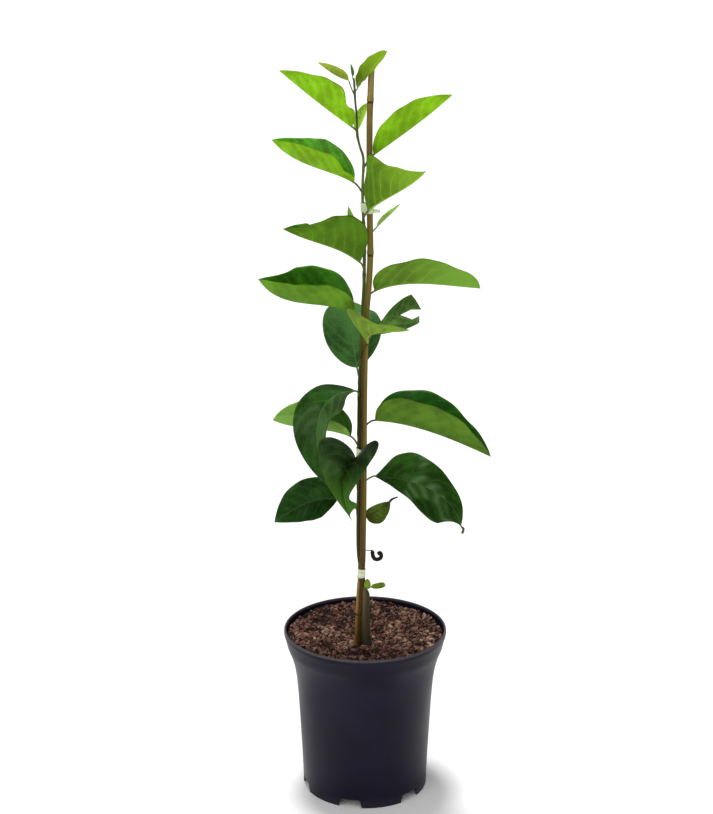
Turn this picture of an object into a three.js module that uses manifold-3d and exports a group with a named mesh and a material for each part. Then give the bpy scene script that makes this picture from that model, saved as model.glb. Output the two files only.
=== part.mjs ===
// A young grafted persimmon tree tied to a bamboo cane, in a round nursery pot.
// Millimetres, +Z up, +X to the right and +Y away from the side that is shown first.
// The origin is the centre of the pot's underside, on the surface that the pot stands on.
import * as THREE from 'three';
import { mergeVertices } from 'three/addons/utils/BufferGeometryUtils.js';
import Module from 'manifold-3d';

const wasm = await Module();
wasm.setup();

// Driving dimensions of the pot and its filling
const CLEARANCE = 0.3; // gap between pieces that touch
const POT_HEIGHT = 208;
const LIP_RADIUS = 100;
const LIP_HEIGHT = 9;
const LIP_INSET = 2.6; // from the lip's outer face to its inner face
const FOOT_RADIUS = 77;
const WALL = 1.8;
const FLOOR_HEIGHT = 13; // underside of the raised floor ring
const FLOOR_THICKNESS = 2.2;
const CENTRE_PAD_RADIUS = 38; // flat middle of the floor, which touches the ground
const POT_SIDES = 56;
const NOTCH_COUNT = 6;
const NOTCH_FIRST_ANGLE = -104; // degrees in plan, just left of the front
const NOTCH_SPAN = 22; // degrees, at the ground
const NOTCH_HEIGHT = 11;
const NOTCH_DEPTH = 12; // of the tool that cuts it, along the radius
const NOTCH_SLANT = 2.5; // how far each side leans in on the way up
const DRAIN_RADIUS = 5;
const DRAIN_RING_RADIUS = 58;
const SOIL_LEVEL = 197; // at the trunk
const SOIL_EDGE_RISE = 6; // the soil is dished by watering
const CRUMB_RELIEF = 2.4; // height between the crumbs' tops and the gaps among them
const SOIL_SIDES = 48;
const SOIL_RINGS = 11;

// Driving dimensions of the woody parts
const TRUNK_RADIUS = 6.2;
const TRUNK_X = -0.3;
const TRUNK_Y = -22;
const TRUNK_FOOT = 138;
const TRUNK_FLARE = 1.1; // how much wider the trunk is at the soil
const TRUNK_FLARE_REACH = 14; // height over which that fades to a third
const GRAFT_HEIGHT = 270; // where the slanted graft cut crosses x = 0
const GRAFT_SLOPE = 1.5; // the cut falls to the right
const CANE_RADIUS = 3.6;
const CANE_Y = -30.2;
const CANE_FOOT = 84;
const WOOD_SIDES = 10;

// Driving dimensions of leaves and ties
const BLADE_THICKNESS = 0.7;
const STALK_RADIUS = 1.1;
const RIB_SHARE = 0.6; // how far the midrib stands out of the underside, of the stalk's radius
const BLADE_STEPS = 12;
const BLADE_CROWDING = 1.3; // sets the rings closer where the blade's foot is round
const STALK_STEPS = 3;
const NORMAL_STEP = 0.02; // share of the blade over which its slope is taken
const BLADE_ACROSS = [-1, -0.55, 0, 0.55, 1];
const LEAF_OUTLINE = [0.62, 0.92]; // how round the foot is, and how pointed the tip
const WAVE_SHIFT = 0.35; // of a wave, between the two margins
const SWELL_FADE = 6; // a swelling fades over the last sixth of the blade at both ends
const LIFT_REACH = 0.1; // share of the blade over which the foot's lift fades
const TEAR_DEPTH = 80; // of the tool that tears a leaf, along Y
const TIE_WIDTH = 11;
const TIE_THICKNESS = 0.7;
const TIE_SIDES = 28;
const TIE_TAIL = 8; // length of the upper tie's loose end
const TIE_TAIL_WIDTH = 4;
const TIE_TAIL_DROP = 3; // below the middle of the tie
const TIE_TAIL_TILT = -6; // degrees
const TIE_HEIGHTS = { tie_middle: 443, tie_bottom: 292 };
const TOP_TIE_HEIGHT = 738;
const CURL_THIN = 0.6;
const CURL_THICK = 1.8;
const CURL_STEPS = 30;
const CURL_SWELLING = [0.2, 0.35]; // shares of its length between which it thickens

const FINISH = {
  pot: { color: 0x1f1e29, roughness: 0.42, metalness: 0 },
  soil: { color: 0x5e4039, roughness: 0.95, metalness: 0 },
  bark: { color: 0x5c5a3c, roughness: 0.8, metalness: 0 },
  scion: { color: 0x4c4a20, roughness: 0.6, metalness: 0 },
  bamboo: { color: 0x8a6f35, roughness: 0.55, metalness: 0 },
  tape: { color: 0xdcebd0, roughness: 0.4, metalness: 0 },
  young: { color: 0x8ab81f, roughness: 0.5, metalness: 0 },
  green: { color: 0x4f8f1c, roughness: 0.45, metalness: 0 },
  dark: { color: 0x1d5a1c, roughness: 0.35, metalness: 0 },
  withered: { color: 0x54521f, roughness: 0.7, metalness: 0 },
  dried: { color: 0x26241a, roughness: 0.8, metalness: 0 },
};

const UP = new THREE.Vector3(0, 0, 1);
const point = (coordinates) => new THREE.Vector3(...coordinates);
const radians = THREE.MathUtils.degToRad;

// Centre line of the cane: a real stick, with slight bends at its nodes
const CANE_LINE = new THREE.CatmullRomCurve3(
  [
    [-10.6, CANE_FOOT],
    [-9.6, 197],
    [-8.2, 241],
    [-6.4, 276],
    [-3.6, 302],
    [-2.8, 334],
    [-2.1, 385],
    [-1.8, 448],
    [-1.6, 510],
    [-0.6, 571],
    [0.6, 613],
    [3.4, 645],
    [5.3, 686],
    [4.7, 722],
    [4.1, 805],
    [4.2, 840],
    [4.9, 861],
    [6.3, 900],
  ].map(([x, z]) => new THREE.Vector3(x, CANE_Y, z)),
);
const CANE_NODES = [241, 686, 861]; // heights of the swollen rings
const CANE_NODE_SWELL = 0.5;
const CANE_NODE_REACH = 4;
const CANE_NODE_RINGS = [-8, -4, 0, 4, 8]; // heights of the rings that shape a node, from its middle
const CANE_STEPS = 27;

// Centre line of the grafted stem, from the graft to the growing tip
const SCION_LINE = new THREE.CatmullRomCurve3(
  [
    [-3.2, -20.5, 268],
    [-4.4, -21.4, 290],
    [-7.4, -22, 318],
    [-7.6, -22, 385],
    [-7.2, -22, 446],
    [-7.0, -22, 508],
    [-6.0, -22, 570],
    [-4.9, -22, 605],
    [-3.5, -22, 641],
    [-3.0, -22, 670],
    [-2.3, -22, 705],
    [-3, -22, 729],
    [-3.6, -22, 747],
    [-3.6, -22, 765],
    [-3, -22, 795],
    [-6.6, -22, 807],
    [-9.6, -22, 820],
    [-10.4, -22, 842],
    [-12.1, -22, 860],
    [-12.7, -22, 872],
    [-13.6, -21.8, 884],
  ].map(point),
);
const SCION_FOOT_RADIUS = 4.0;
const SCION_LOW_RADIUS = 3.1;
const SCION_TIP_RADIUS = 1.1;
const SCION_FLARE_TOP = 300; // the foot's flare ends here
const SCION_STEPS = 42;

// Centre line of the dried curl, from the stem behind the cane
const CURL_LINE = new THREE.CatmullRomCurve3(
  [
    [-3.9, -22, 319],
    [2.7, -22, 318.1],
    [5.7, -21.5, 317.9],
    [7.9, -21, 317],
    [8.8, -20.5, 314],
    [9.2, -20, 309.9],
    [11.2, -20, 306.5],
    [14.8, -20, 305.5],
    [18.3, -20, 307.3],
    [19.3, -20, 311.2],
    [17.6, -20, 314],
    [15.2, -20, 312.8],
  ].map(point),
);

// Leaves. from: height where the stalk leaves the stem. midrib: four points of the blade's midrib,
// from foot to tip. faces: where the upper face turns, at the foot and at the tip. left and right, seen
// along the leaf with its upper face up: half width, then the rise in degrees at the midrib and at the
// margin. wave: height of the margin's waves, waves along the blade, start of the first one. swell: for a
// half, the place and spread along the blade of a swelling of its margin, and its size, below 0 for a
// waist. lift: degrees by which both halves rise more at the foot.
const LEAVES = [
  {
    name: 'leaf_01_apex_left',
    finish: 'young',
    from: 866,
    midrib: [[-19.6, -23, 882.5], [-30.2, -25, 886.4], [-41.3, -28, 893.2], [-53.5, -31, 903]],
    faces: [[0.4, 0.1, 0.9], [0.3, 0.1, 0.9]],
    left: [12, 45, 55],
    right: [11, 45, 55],
    wave: [0.3, 1, 0],
    stalk: 0.7,
    bend: [-16.5, -22.8, 873],
    outline: [0.62, 0.8],
  },
  {
    name: 'leaf_02_apex_right',
    finish: 'young',
    from: 870,
    midrib: [[-9.5, -27, 874.2], [-3.3, -31, 886.9], [7.7, -37, 900.4], [23.1, -42, 916.9]],
    faces: [[-0.6, -0.6, 0.4], [-0.5, -0.7, 0.4]],
    left: [11.5, 15, 20],
    right: [10.5, 20, 30],
    wave: [0.8, 4, 0.1],
    stalk: 0.7,
    outline: [0.75, 0.6],
  },
  {
    name: 'leaf_03_apex_bud',
    finish: 'green',
    from: 879,
    midrib: [[-15, -18, 886], [-15.6, -17.5, 890], [-16.4, -17, 895], [-17, -17, 900]],
    faces: [[0.6, -0.8, 0], [0.6, -0.8, 0]],
    left: [2.6, 30, 40],
    right: [2.6, 30, 40],
    wave: [0, 1, 0],
    stalk: 0.6,
  },
  {
    name: 'leaf_04_upper_left',
    finish: 'young',
    from: 826,
    midrib: [[-16.2, -23, 830.4], [-42.6, -26, 850], [-70, -27, 871.4], [-97.2, -26, 893.5]],
    faces: [[0.6, 0.25, 0.75], [0.6, 0.25, 0.75]],
    left: [32, 45, 65],
    right: [28, 45, 65],
    wave: [1, 1.5, 0.2],
    outline: [0.6, 0.92],
    swell: { left: [0.2, 0.09, -8] },
  },
  {
    name: 'leaf_05_upper_back',
    finish: 'young',
    from: 820,
    midrib: [[-10.6, -17, 824.3], [-7.2, -14, 834.1], [-3.2, -11, 843.8], [1.9, -8, 854.7]],
    faces: [[-0.6, -0.6, 0.5], [-0.6, -0.6, 0.5]],
    left: [9, 15, 15],
    right: [7, 15, 15],
    wave: [0, 1, 0],
    stalk: 0.7,
    outline: [0.7, 0.7],
  },
  {
    name: 'leaf_06_upper_right',
    finish: 'young',
    from: 784,
    midrib: [[9, -20, 798], [39, -24, 820], [69, -27, 843], [97, -28, 867]],
    faces: [[-0.5, 0.25, 0.8], [-0.6, 0.25, 0.7]],
    left: [28, 50, 65],
    right: [29, 50, 65],
    wave: [1, 1.2, 0.3],
    outline: [0.75, 0.92],
  },
  {
    name: 'leaf_07_shoulder_left',
    finish: 'green',
    from: 756,
    midrib: [[-14, -24, 767], [-45, -29, 781], [-77, -32, 794], [-106, -34, 817]],
    faces: [[0.3, -0.22, 0.9], [0.4, -0.22, 0.85]],
    left: [32, 50, 75],
    right: [32, 50, 75],
    wave: [1.2, 1.6, 0.6],
    outline: [0.6, 0.72],
    swell: { left: [0.12, 0.16, -15] },
  },
  {
    name: 'leaf_08_front',
    finish: 'young',
    from: 721,
    bend: [-5, -37, 727],
    midrib: [[3, -37, 737], [22.5, -62, 755.1], [44.2, -84, 772.2], [65.4, -104, 794.2]],
    faces: [[0.57, 0.78, 0.2], [0.57, 0.78, 0.2]],
    left: [28, 85, 105],
    right: [36, 5, 15],
    wave: [1.5, 1.5, 0.4],
    outline: [0.6, 1.15],
    swell: { right: [0.36, 0.11, 17] },
  },
  {
    name: 'leaf_09_small_back',
    finish: 'green',
    from: 688,
    midrib: [[-12, -15, 700], [-15, -11, 714], [-18, -8, 725], [-20, -5, 736]],
    faces: [[0.3, -0.6, 0.6], [0.3, -0.6, 0.6]],
    left: [5, 15, 15],
    right: [5, 15, 15],
    wave: [0, 1, 0],
    stalk: 0.8,
  },
  {
    name: 'leaf_10_large_left',
    finish: 'green',
    from: 660,
    midrib: [[-7.2, -38.5, 677.6], [-34.9, -62, 698.5], [-61.4, -81, 711.8], [-92, -96, 728]],
    faces: [[-0.1, 0.65, 0.75], [0, -0.1, 0.95]],
    left: [43, 45, 55],
    right: [34, 45, 60],
    wave: [1.5, 1.3, 0.1],
    outline: [0.37, 0.85],
  },
  {
    name: 'leaf_11_narrow_right',
    finish: 'young',
    from: 700,
    midrib: [[13, -17, 714], [21.5, -16, 722], [31, -16, 731], [40, -16, 741]],
    faces: [[-0.6, -0.08, 0.75], [-0.6, -0.08, 0.75]],
    left: [9, 15, 25],
    right: [9, 15, 25],
    wave: [0, 1, 0],
    stalk: 0.8,
  },
  {
    name: 'leaf_12_large_right',
    finish: 'green',
    from: 627,
    midrib: [[11, -19, 639], [49, -25, 649], [90, -31, 649], [132, -36, 646]],
    faces: [[0, 0.25, 0.95], [0, 0.25, 0.95]],
    left: [28, 45, 60],
    right: [31, 50, 70],
    wave: [1.5, 2, 0.2],
    outline: [0.42, 0.5],
  },
  {
    name: 'leaf_13_large_left',
    finish: 'dark',
    from: 602,
    midrib: [[-16, -27, 614], [-51, -38, 627], [-90, -50, 636], [-122, -58, 662]],
    faces: [[0.1, -0.2, 0.95], [0.3, -0.2, 0.9]],
    left: [38, 50, 75],
    right: [41, 50, 75],
    wave: [1.5, 1.4, 0.5],
    outline: [0.6, 0.65],
    swell: { right: [0.22, 0.2, 6] },
  },
  {
    name: 'leaf_14_large_back',
    finish: 'dark',
    from: 532,
    midrib: [[-10, -13, 545], [-16, 0, 582], [-16, 20, 602], [-10, 46, 608]],
    faces: [[0.1, -0.85, 0.5], [0.1, -0.5, 0.9]],
    left: [36, 5, 20],
    right: [36, 5, 20],
    wave: [1, 1.5, 0.3],
  },
  {
    name: 'leaf_15_front',
    finish: 'green',
    from: 561,
    bend: [-9, -37, 568],
    midrib: [[2.7, -38, 580.9], [8.3, -62, 598.7], [28.5, -84, 606.9], [49.5, -100, 613.4]],
    faces: [[0.6, 0.4, 0.65], [0.2, 0.95, 0.2]],
    left: [6, 85, 100],
    right: [11, 5, 15],
    wave: [1.5, 1.5, 0.2],
    outline: [0.45, 0.9],
    swell: { right: [0.25, 0.15, 31] },
  },
  {
    name: 'leaf_16_torn_right',
    finish: 'dark',
    from: 562,
    midrib: [[6.5, -8, 582], [33.5, -2, 600], [60, 6, 616], [88, 14, 632]],
    faces: [[-0.3, -0.8, 0.5], [-0.3, -0.8, 0.5]],
    left: [15, 10, 20],
    right: [25, 10, 20],
    wave: [1, 1.5, 0.2],
    torn: [
      [53.2, 660], [53.2, 628], [58.5, 622], [65.4, 612], [53.5, 611], [40.6, 605], [48, 603.5],
      [54.3, 602], [63.1, 606], [62.3, 594], [57.2, 584], [56, 550], [130, 550], [130, 660],
    ],
    outline: [1.1, 0.8],
  },
  {
    name: 'leaf_17_low_right',
    finish: 'dark',
    from: 468,
    midrib: [[12, -20, 482], [57, -32, 478], [102, -42, 465], [147, -48, 446]],
    faces: [[0.1, 0, 0.95], [0.3, 0, 0.9]],
    left: [44, 55, 80],
    right: [40, 55, 80],
    wave: [1.5, 1.8, 0.1],
    outline: [0.45, 0.85],
  },
  {
    name: 'leaf_18_hanging_left',
    finish: 'dark',
    from: 512,
    midrib: [[-12, -30, 521], [-47.6, -41, 507.5], [-57.1, -45, 466.4], [-45.1, -38, 406.6]],
    faces: [[-0.3, -0.2, 0.9], [0, -0.9, -0.1]],
    left: [14, 0, 20],
    right: [33, 5, -10],
    wave: [1, 1.5, 0],
    swell: { left: [0.22, 0.16, 19] },
  },
  {
    name: 'leaf_19_low_back_left',
    finish: 'green',
    from: 452,
    midrib: [[-18, -20, 462], [-49, -10, 467], [-80, -2, 468], [-111, 6, 474]],
    faces: [[0, -0.2, 0.95], [0, -0.2, 0.95]],
    left: [26, 60, 75],
    right: [34, 45, 60],
    wave: [1, 1.5, 0],
    outline: [0.45, 0.5],
  },
  {
    name: 'leaf_20_front_drooping',
    finish: 'dark',
    from: 424,
    midrib: [[-11.2, -54, 442.6], [-23.9, -88, 443.1], [-27.3, -103, 421.5], [-15.8, -108, 387.8]],
    faces: [[0, -0.15, 1], [0.2, -0.9, 0]],
    left: [42, 55, 20],
    right: [44, 55, -15],
    wave: [1.5, 1.5, 0.3],
    outline: [0.3, 1.75],
    swell: { left: [0.86, 0.06, 15] },
    lift: 26,
  },
  {
    name: 'leaf_21_low_right',
    finish: 'dark',
    from: 402,
    midrib: [[12.6, -22, 412.9], [44.5, -38, 413.4], [85.7, -48, 399.4], [113.4, -50, 361.1]],
    faces: [[0.1, -0.4, 0.9], [0.5, -0.7, 0.4]],
    left: [36, 15, 10],
    right: [6, 10, 0],
    wave: [1.5, 2, 0.2],
    outline: [0.5, 0.95],
    swell: { left: [0.75, 0.15, -5], right: [0.66, 0.3, 33] },
  },
  {
    name: 'leaf_22_lowest_left',
    finish: 'dark',
    from: 371,
    midrib: [[-33, -20, 383], [-59.5, -16, 380], [-84, -18, 370], [-109, -24, 355]],
    faces: [[0, -0.7, 0.7], [-0.2, -0.7, 0.7]],
    left: [26, 10, 0],
    right: [31, 10, 0],
    wave: [1, 1.5, 0.1],
  },
  {
    name: 'withered_leaf',
    finish: 'withered',
    from: 369,
    midrib: [[0.8, -22, 362.1], [10.4, -24, 366], [23.5, -27, 374.2], [37.7, -28, 387.2]],
    faces: [[-0.3, -0.9, 0.2], [-0.3, -0.9, 0.2]],
    left: [9, 15, 50],
    right: [11, 10, 40],
    wave: [1.5, 1.5, 0.3],
    outline: [0.7, 1.5],
    stalk: 0.9,
    swell: { right: [0.6, 0.2, 5] },
  },
  {
    name: 'bud_leaf_upright',
    finish: 'young',
    from: 277,
    midrib: [[1.9, -28, 270.9], [2.8, -29, 275.2], [3.1, -29, 279.1], [1.8, -28.5, 283.5]],
    faces: [[-0.2, -0.9, 0], [-0.2, -0.9, 0]],
    left: [5, 20, 30],
    right: [4.5, 20, 30],
    wave: [0, 1, 0],
    stalk: 0.6,
    outline: [0.4, 0.45],
  },
  {
    name: 'bud_leaf_right',
    finish: 'young',
    from: 273.5,
    midrib: [[7.3, -26, 272.2], [13, -26, 272.4], [19.1, -26, 273.4], [24.4, -26, 275]],
    faces: [[-0.2, -0.6, 0.7], [-0.2, -0.6, 0.7]],
    left: [4.5, 20, 30],
    right: [4.5, 20, 30],
    wave: [0.3, 1, 0],
    stalk: 0.6,
    outline: [0.7, 0.3],
  },
];

// A smooth curve through four points that it reaches at even steps
function curveThrough(coordinates) {
  const [a, b, c, d] = coordinates.map(point);
  const blend = (...weights) =>
    [a, b, c, d].reduce((sum, p, i) => sum.addScaledVector(p, weights[i] / 6), new THREE.Vector3());
  return new THREE.CubicBezierCurve3(a, blend(-5, 18, -9, 2), blend(2, -9, 18, -5), d);
}

const evenShares = (steps) => Array.from({ length: steps + 1 }, (_, i) => i / steps);

// Point at a height on the centre line of a rising rod, whose rings stand at shares of the line's length
function pointAt({ line, shares }, height) {
  const centres = shares.map((share) => line.getPointAt(share));
  const above = Math.max(centres.findIndex((p) => p.z >= height), 1);
  const [low, high] = [centres[above - 1], centres[above]];
  return low.clone().lerp(high, THREE.MathUtils.inverseLerp(low.z, high.z, height));
}

function scionRadius(height) {
  const top = SCION_LINE.points.at(-1).z;
  const along = THREE.MathUtils.clamp((height - SCION_FLARE_TOP) / (top - SCION_FLARE_TOP), 0, 1);
  const flare = THREE.MathUtils.clamp((SCION_FLARE_TOP - height) / 30, 0, 1);
  const stem = THREE.MathUtils.lerp(SCION_LOW_RADIUS, SCION_TIP_RADIUS, along ** 1.3);
  return THREE.MathUtils.lerp(stem, SCION_FOOT_RADIUS, flare);
}

// Closed skin over rings of equally many points. Each ring runs anticlockwise seen from the last one.
// split(j) tells which diagonal cuts the face between points j and j + 1.
function skin(rings, split = () => true) {
  const count = rings[0].length;
  const vertices = rings.flat();
  const faces = [];
  for (let i = 0; i < rings.length - 1; i += 1) {
    for (let j = 0; j < count; j += 1) {
      const k = (j + 1) % count;
      const [a, b, c, d] = [i * count + j, i * count + k, (i + 1) * count + k, (i + 1) * count + j];
      if (split(j)) faces.push([a, b, c], [a, c, d]);
      else faces.push([a, b, d], [b, c, d]);
    }
  }
  for (const [ring, turned] of [[0, true], [rings.length - 1, false]]) {
    const centre = rings[ring].reduce((sum, p) => sum.addScaledVector(p, 1 / count), new THREE.Vector3());
    vertices.push(centre);
    for (let j = 0; j < count; j += 1) {
      const [a, b] = [ring * count + j, ring * count + ((j + 1) % count)];
      faces.push(turned ? [b, a, vertices.length - 1] : [a, b, vertices.length - 1]);
    }
  }
  return geometryOf(vertices, faces);
}

function geometryOf(vertices, faces) {
  const geometry = new THREE.BufferGeometry().setFromPoints(vertices);
  geometry.setIndex(faces.flat());
  geometry.computeVertexNormals();
  return geometry;
}

// Round ring of points about a centre, square to a direction
function ringAbout(centre, direction, radius, sides) {
  const across = new THREE.Vector3().crossVectors(direction, new THREE.Vector3(0, 1, 0)).normalize();
  const other = new THREE.Vector3().crossVectors(direction, across).normalize();
  return Array.from({ length: sides }, (_, j) => {
    const angle = (2 * Math.PI * j) / sides;
    return centre
      .clone()
      .addScaledVector(across, radius * Math.cos(angle))
      .addScaledVector(other, radius * Math.sin(angle));
  });
}

// Round rod with rings at shares of its line's length, its radius given by height and share; shape may
// change its rings
function rod({ line, shares }, radiusAt, sides = WOOD_SIDES, shape = (rings) => rings) {
  const rings = shares.map((share) => {
    const centre = line.getPointAt(share);
    return ringAbout(centre, line.getTangentAt(share), radiusAt(centre.z, share), sides);
  });
  return skin(shape(rings));
}

function solidOf(geometry) {
  const bare = geometry.clone();
  bare.deleteAttribute('normal');
  bare.deleteAttribute('uv');
  const merged = mergeVertices(bare, 1e-4);
  return new wasm.Manifold(
    new wasm.Mesh({
      numProp: 3,
      vertProperties: merged.getAttribute('position').array,
      triVerts: new Uint32Array(merged.getIndex().array),
    }),
  );
}

function meshGeometryOf(solid) {
  const mesh = solid.getMesh();
  const geometry = new THREE.BufferGeometry();
  geometry.setAttribute('position', new THREE.BufferAttribute(new Float32Array(mesh.vertProperties), 3));
  geometry.setIndex([...mesh.triVerts]);
  geometry.computeVertexNormals();
  return geometry;
}

function cut(geometry, tools) {
  const left = tools.reduce((solid, tool) => solid.subtract(solidOf(tool)), solidOf(geometry));
  return meshGeometryOf(left);
}

// Pot
// Outer face of the pot below its lip, from the foot up: radius, height
const POT_OUTSIDE = [
  [FOOT_RADIUS, 0],
  [77.3, 9],
  [79, 50],
  [81.6, 100],
  [83.4, 128],
  [85.2, 147],
  [88, 163],
  [91.8, 176],
  [95.4, 185],
  [98, POT_HEIGHT - LIP_HEIGHT - 1.5],
];

function potRadiusAt(height) {
  const above = POT_OUTSIDE.findIndex(([, z]) => z >= height);
  if (above < 1) return above === 0 ? FOOT_RADIUS : POT_OUTSIDE.at(-1)[0];
  const [r0, z0] = POT_OUTSIDE[above - 1];
  const [r1, z1] = POT_OUTSIDE[above];
  return THREE.MathUtils.mapLinear(height, z0, z1, r0, r1);
}

function potGeometry() {
  const floorTop = FLOOR_HEIGHT + FLOOR_THICKNESS;
  const footInside = FOOT_RADIUS - WALL;
  const lipInside = LIP_RADIUS - LIP_INSET;
  const outside = POT_OUTSIDE.map(([r, z]) => new THREE.Vector2(r, z));
  const lip = [
    [LIP_RADIUS - 0.4, POT_HEIGHT - LIP_HEIGHT],
    [LIP_RADIUS, POT_HEIGHT - LIP_HEIGHT + 1],
    [LIP_RADIUS, POT_HEIGHT - 1.2],
    [LIP_RADIUS - 0.9, POT_HEIGHT],
    [lipInside + 0.5, POT_HEIGHT],
    [lipInside, POT_HEIGHT - 1],
  ].map(([r, z]) => new THREE.Vector2(r, z));
  const inside = POT_OUTSIDE.slice(2).reverse().map(([r, z]) => new THREE.Vector2(r - WALL, z));
  const profile = [
    new THREE.Vector2(0, 0),
    new THREE.Vector2(CENTRE_PAD_RADIUS, 0),
    new THREE.Vector2(CENTRE_PAD_RADIUS + 6, FLOOR_HEIGHT),
    new THREE.Vector2(footInside - 1, FLOOR_HEIGHT),
    new THREE.Vector2(footInside, 0),
    ...outside,
    ...lip,
    ...inside,
    new THREE.Vector2(footInside, floorTop),
    new THREE.Vector2(CENTRE_PAD_RADIUS + 5, floorTop),
    new THREE.Vector2(CENTRE_PAD_RADIUS - 1, FLOOR_THICKNESS),
    new THREE.Vector2(0, FLOOR_THICKNESS),
  ];
  const body = new THREE.LatheGeometry(profile, POT_SIDES).rotateX(Math.PI / 2);
  return cut(body, [...notchTools(), ...drainTools()]);
}

// Notches through the foot ring, and the drain holes that lie between them
function notchTools() {
  const half = FOOT_RADIUS * Math.sin(radians(NOTCH_SPAN / 2));
  const corners = [
    [-half - NOTCH_SLANT, -NOTCH_HEIGHT],
    [half + NOTCH_SLANT, -NOTCH_HEIGHT],
    [half - NOTCH_SLANT, NOTCH_HEIGHT],
    [-half + NOTCH_SLANT, NOTCH_HEIGHT],
  ];
  const face = new THREE.Shape(corners.map(([across, up]) => new THREE.Vector2(across, up)));
  return Array.from({ length: NOTCH_COUNT }, (_, i) => {
    const angle = radians(NOTCH_FIRST_ANGLE + (360 / NOTCH_COUNT) * i);
    return new THREE.ExtrudeGeometry(face, { depth: NOTCH_DEPTH, bevelEnabled: false })
      .rotateX(Math.PI / 2)
      .rotateZ(Math.PI / 2)
      .translate(FOOT_RADIUS - NOTCH_DEPTH / 2, 0, 0)
      .rotateZ(angle);
  });
}

function drainTools() {
  return Array.from({ length: NOTCH_COUNT }, (_, i) => {
    const angle = radians(NOTCH_FIRST_ANGLE + (360 / NOTCH_COUNT) * (i + 0.5));
    return new THREE.CylinderGeometry(DRAIN_RADIUS, DRAIN_RADIUS, 8, 12)
      .rotateX(Math.PI / 2)
      .translate(DRAIN_RING_RADIUS, 0, FLOOR_HEIGHT)
      .rotateZ(angle);
  });
}

// Soil
// Repeatable value from 0 to 1 for each pair of whole numbers
function scatter(i, j) {
  const value = Math.sin(i * 127.1 + j * 311.7) * 43758.5453;
  return value - Math.floor(value);
}

function soilGeometry() {
  const gap = CLEARANCE;
  const rings = [];
  const circle = (radius, height) =>
    Array.from({ length: SOIL_SIDES }, (_, j) => {
      const angle = (2 * Math.PI * j) / SOIL_SIDES;
      return new THREE.Vector3(radius * Math.cos(angle), radius * Math.sin(angle), height);
    });
  const insideAt = (height) => (potRadiusAt(height) - WALL) * Math.cos(Math.PI / POT_SIDES) - gap;
  const floorTop = FLOOR_HEIGHT + FLOOR_THICKNESS;
  rings.push(circle(CENTRE_PAD_RADIUS - 3, FLOOR_THICKNESS + gap));
  rings.push(circle(CENTRE_PAD_RADIUS + 3, floorTop + gap));
  rings.push(circle(FOOT_RADIUS - WALL - 1.5, floorTop + gap));
  for (const [, height] of POT_OUTSIDE.slice(2)) {
    if (height < SOIL_LEVEL - 8) rings.push(circle(insideAt(height), height));
  }
  const edge = insideAt(SOIL_LEVEL - 2);
  rings.push(circle(edge, SOIL_LEVEL));
  for (let i = SOIL_RINGS; i > 0; i -= 1) {
    const share = (i / SOIL_RINGS) ** 0.85;
    const level = SOIL_LEVEL + SOIL_EDGE_RISE * share ** 2;
    const crumbs = circle((edge - 0.5) * share, level);
    for (const [j, p] of crumbs.entries()) p.z += CRUMB_RELIEF * (scatter(i, j) - 0.5);
    rings.push(crumbs);
  }
  return cut(skin(rings), [
    rodHole([TRUNK_X, TRUNK_Y], [TRUNK_X, TRUNK_Y], TRUNK_FOOT, trunkRadius(0) + 0.3),
    rodHole([-10.6, CANE_Y], [-9.6, CANE_Y], CANE_FOOT, CANE_RADIUS + 0.2),
  ]);
}

// Plain round hole from a foot up through the soil's surface
function rodHole([x0, y0], [x1, y1], foot, radius) {
  const top = SOIL_LEVEL + 12;
  const from = new THREE.Vector3(x0, y0, foot - CLEARANCE);
  const to = new THREE.Vector3(x1, y1, top);
  const wide = (radius + CLEARANCE) / Math.cos(Math.PI / 24);
  const direction = to.clone().sub(from).normalize();
  return skin([ringAbout(from, direction, wide, 24), ringAbout(to, direction, wide, 24)]);
}

// Woody parts
const SCION = { line: SCION_LINE, shares: evenShares(SCION_STEPS) };
const CANE = { line: CANE_LINE, shares: caneShares() };

// Even steps along the cane, with closer rings at its nodes instead of those near them
function caneShares() {
  const [foot, top] = [CANE_LINE.points[0].z, CANE_LINE.points.at(-1).z];
  const reach = CANE_NODE_RINGS.at(-1) / (top - foot);
  const nodes = CANE_NODES.map((z) => (z - foot) / (top - foot));
  const even = evenShares(CANE_STEPS).filter((share) => nodes.every((n) => Math.abs(share - n) > 2 * reach));
  const close = nodes.flatMap((n) => CANE_NODE_RINGS.map((offset) => n + offset / (top - foot)));
  return [...even, ...close].sort((a, b) => a - b);
}

function trunkRadius(height) {
  return TRUNK_RADIUS + TRUNK_FLARE * Math.exp(-Math.max(height - SOIL_LEVEL, 0) / TRUNK_FLARE_REACH);
}

const graftHeight = (x) => GRAFT_HEIGHT - GRAFT_SLOPE * x;

function rootstockGeometry() {
  const heights = [TRUNK_FOOT, 168, 190, 197, 204, 214, 228, 244, 256];
  const rings = heights.map((z) =>
    ringAbout(new THREE.Vector3(TRUNK_X, TRUNK_Y, z), UP, trunkRadius(z), 16),
  );
  const top = ringAbout(new THREE.Vector3(TRUNK_X, TRUNK_Y, 0), UP, TRUNK_RADIUS, 16);
  for (const p of top) p.z = graftHeight(p.x);
  return skin([...rings, top]);
}

function scionGeometry() {
  return rod(SCION, scionRadius, WOOD_SIDES, (rings) => {
    for (const ring of rings) {
      for (const p of ring) {
        const lowest = graftHeight(p.x) + CLEARANCE * Math.hypot(1, GRAFT_SLOPE);
        p.z = Math.max(p.z, lowest);
      }
    }
    return rings;
  });
}

function caneRadius(height) {
  const swell = CANE_NODES.map((z) => Math.exp(-(((height - z) / CANE_NODE_REACH) ** 2)));
  return CANE_RADIUS + CANE_NODE_SWELL * Math.max(...swell);
}

function caneGeometry() {
  return rod(CANE, caneRadius);
}

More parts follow.
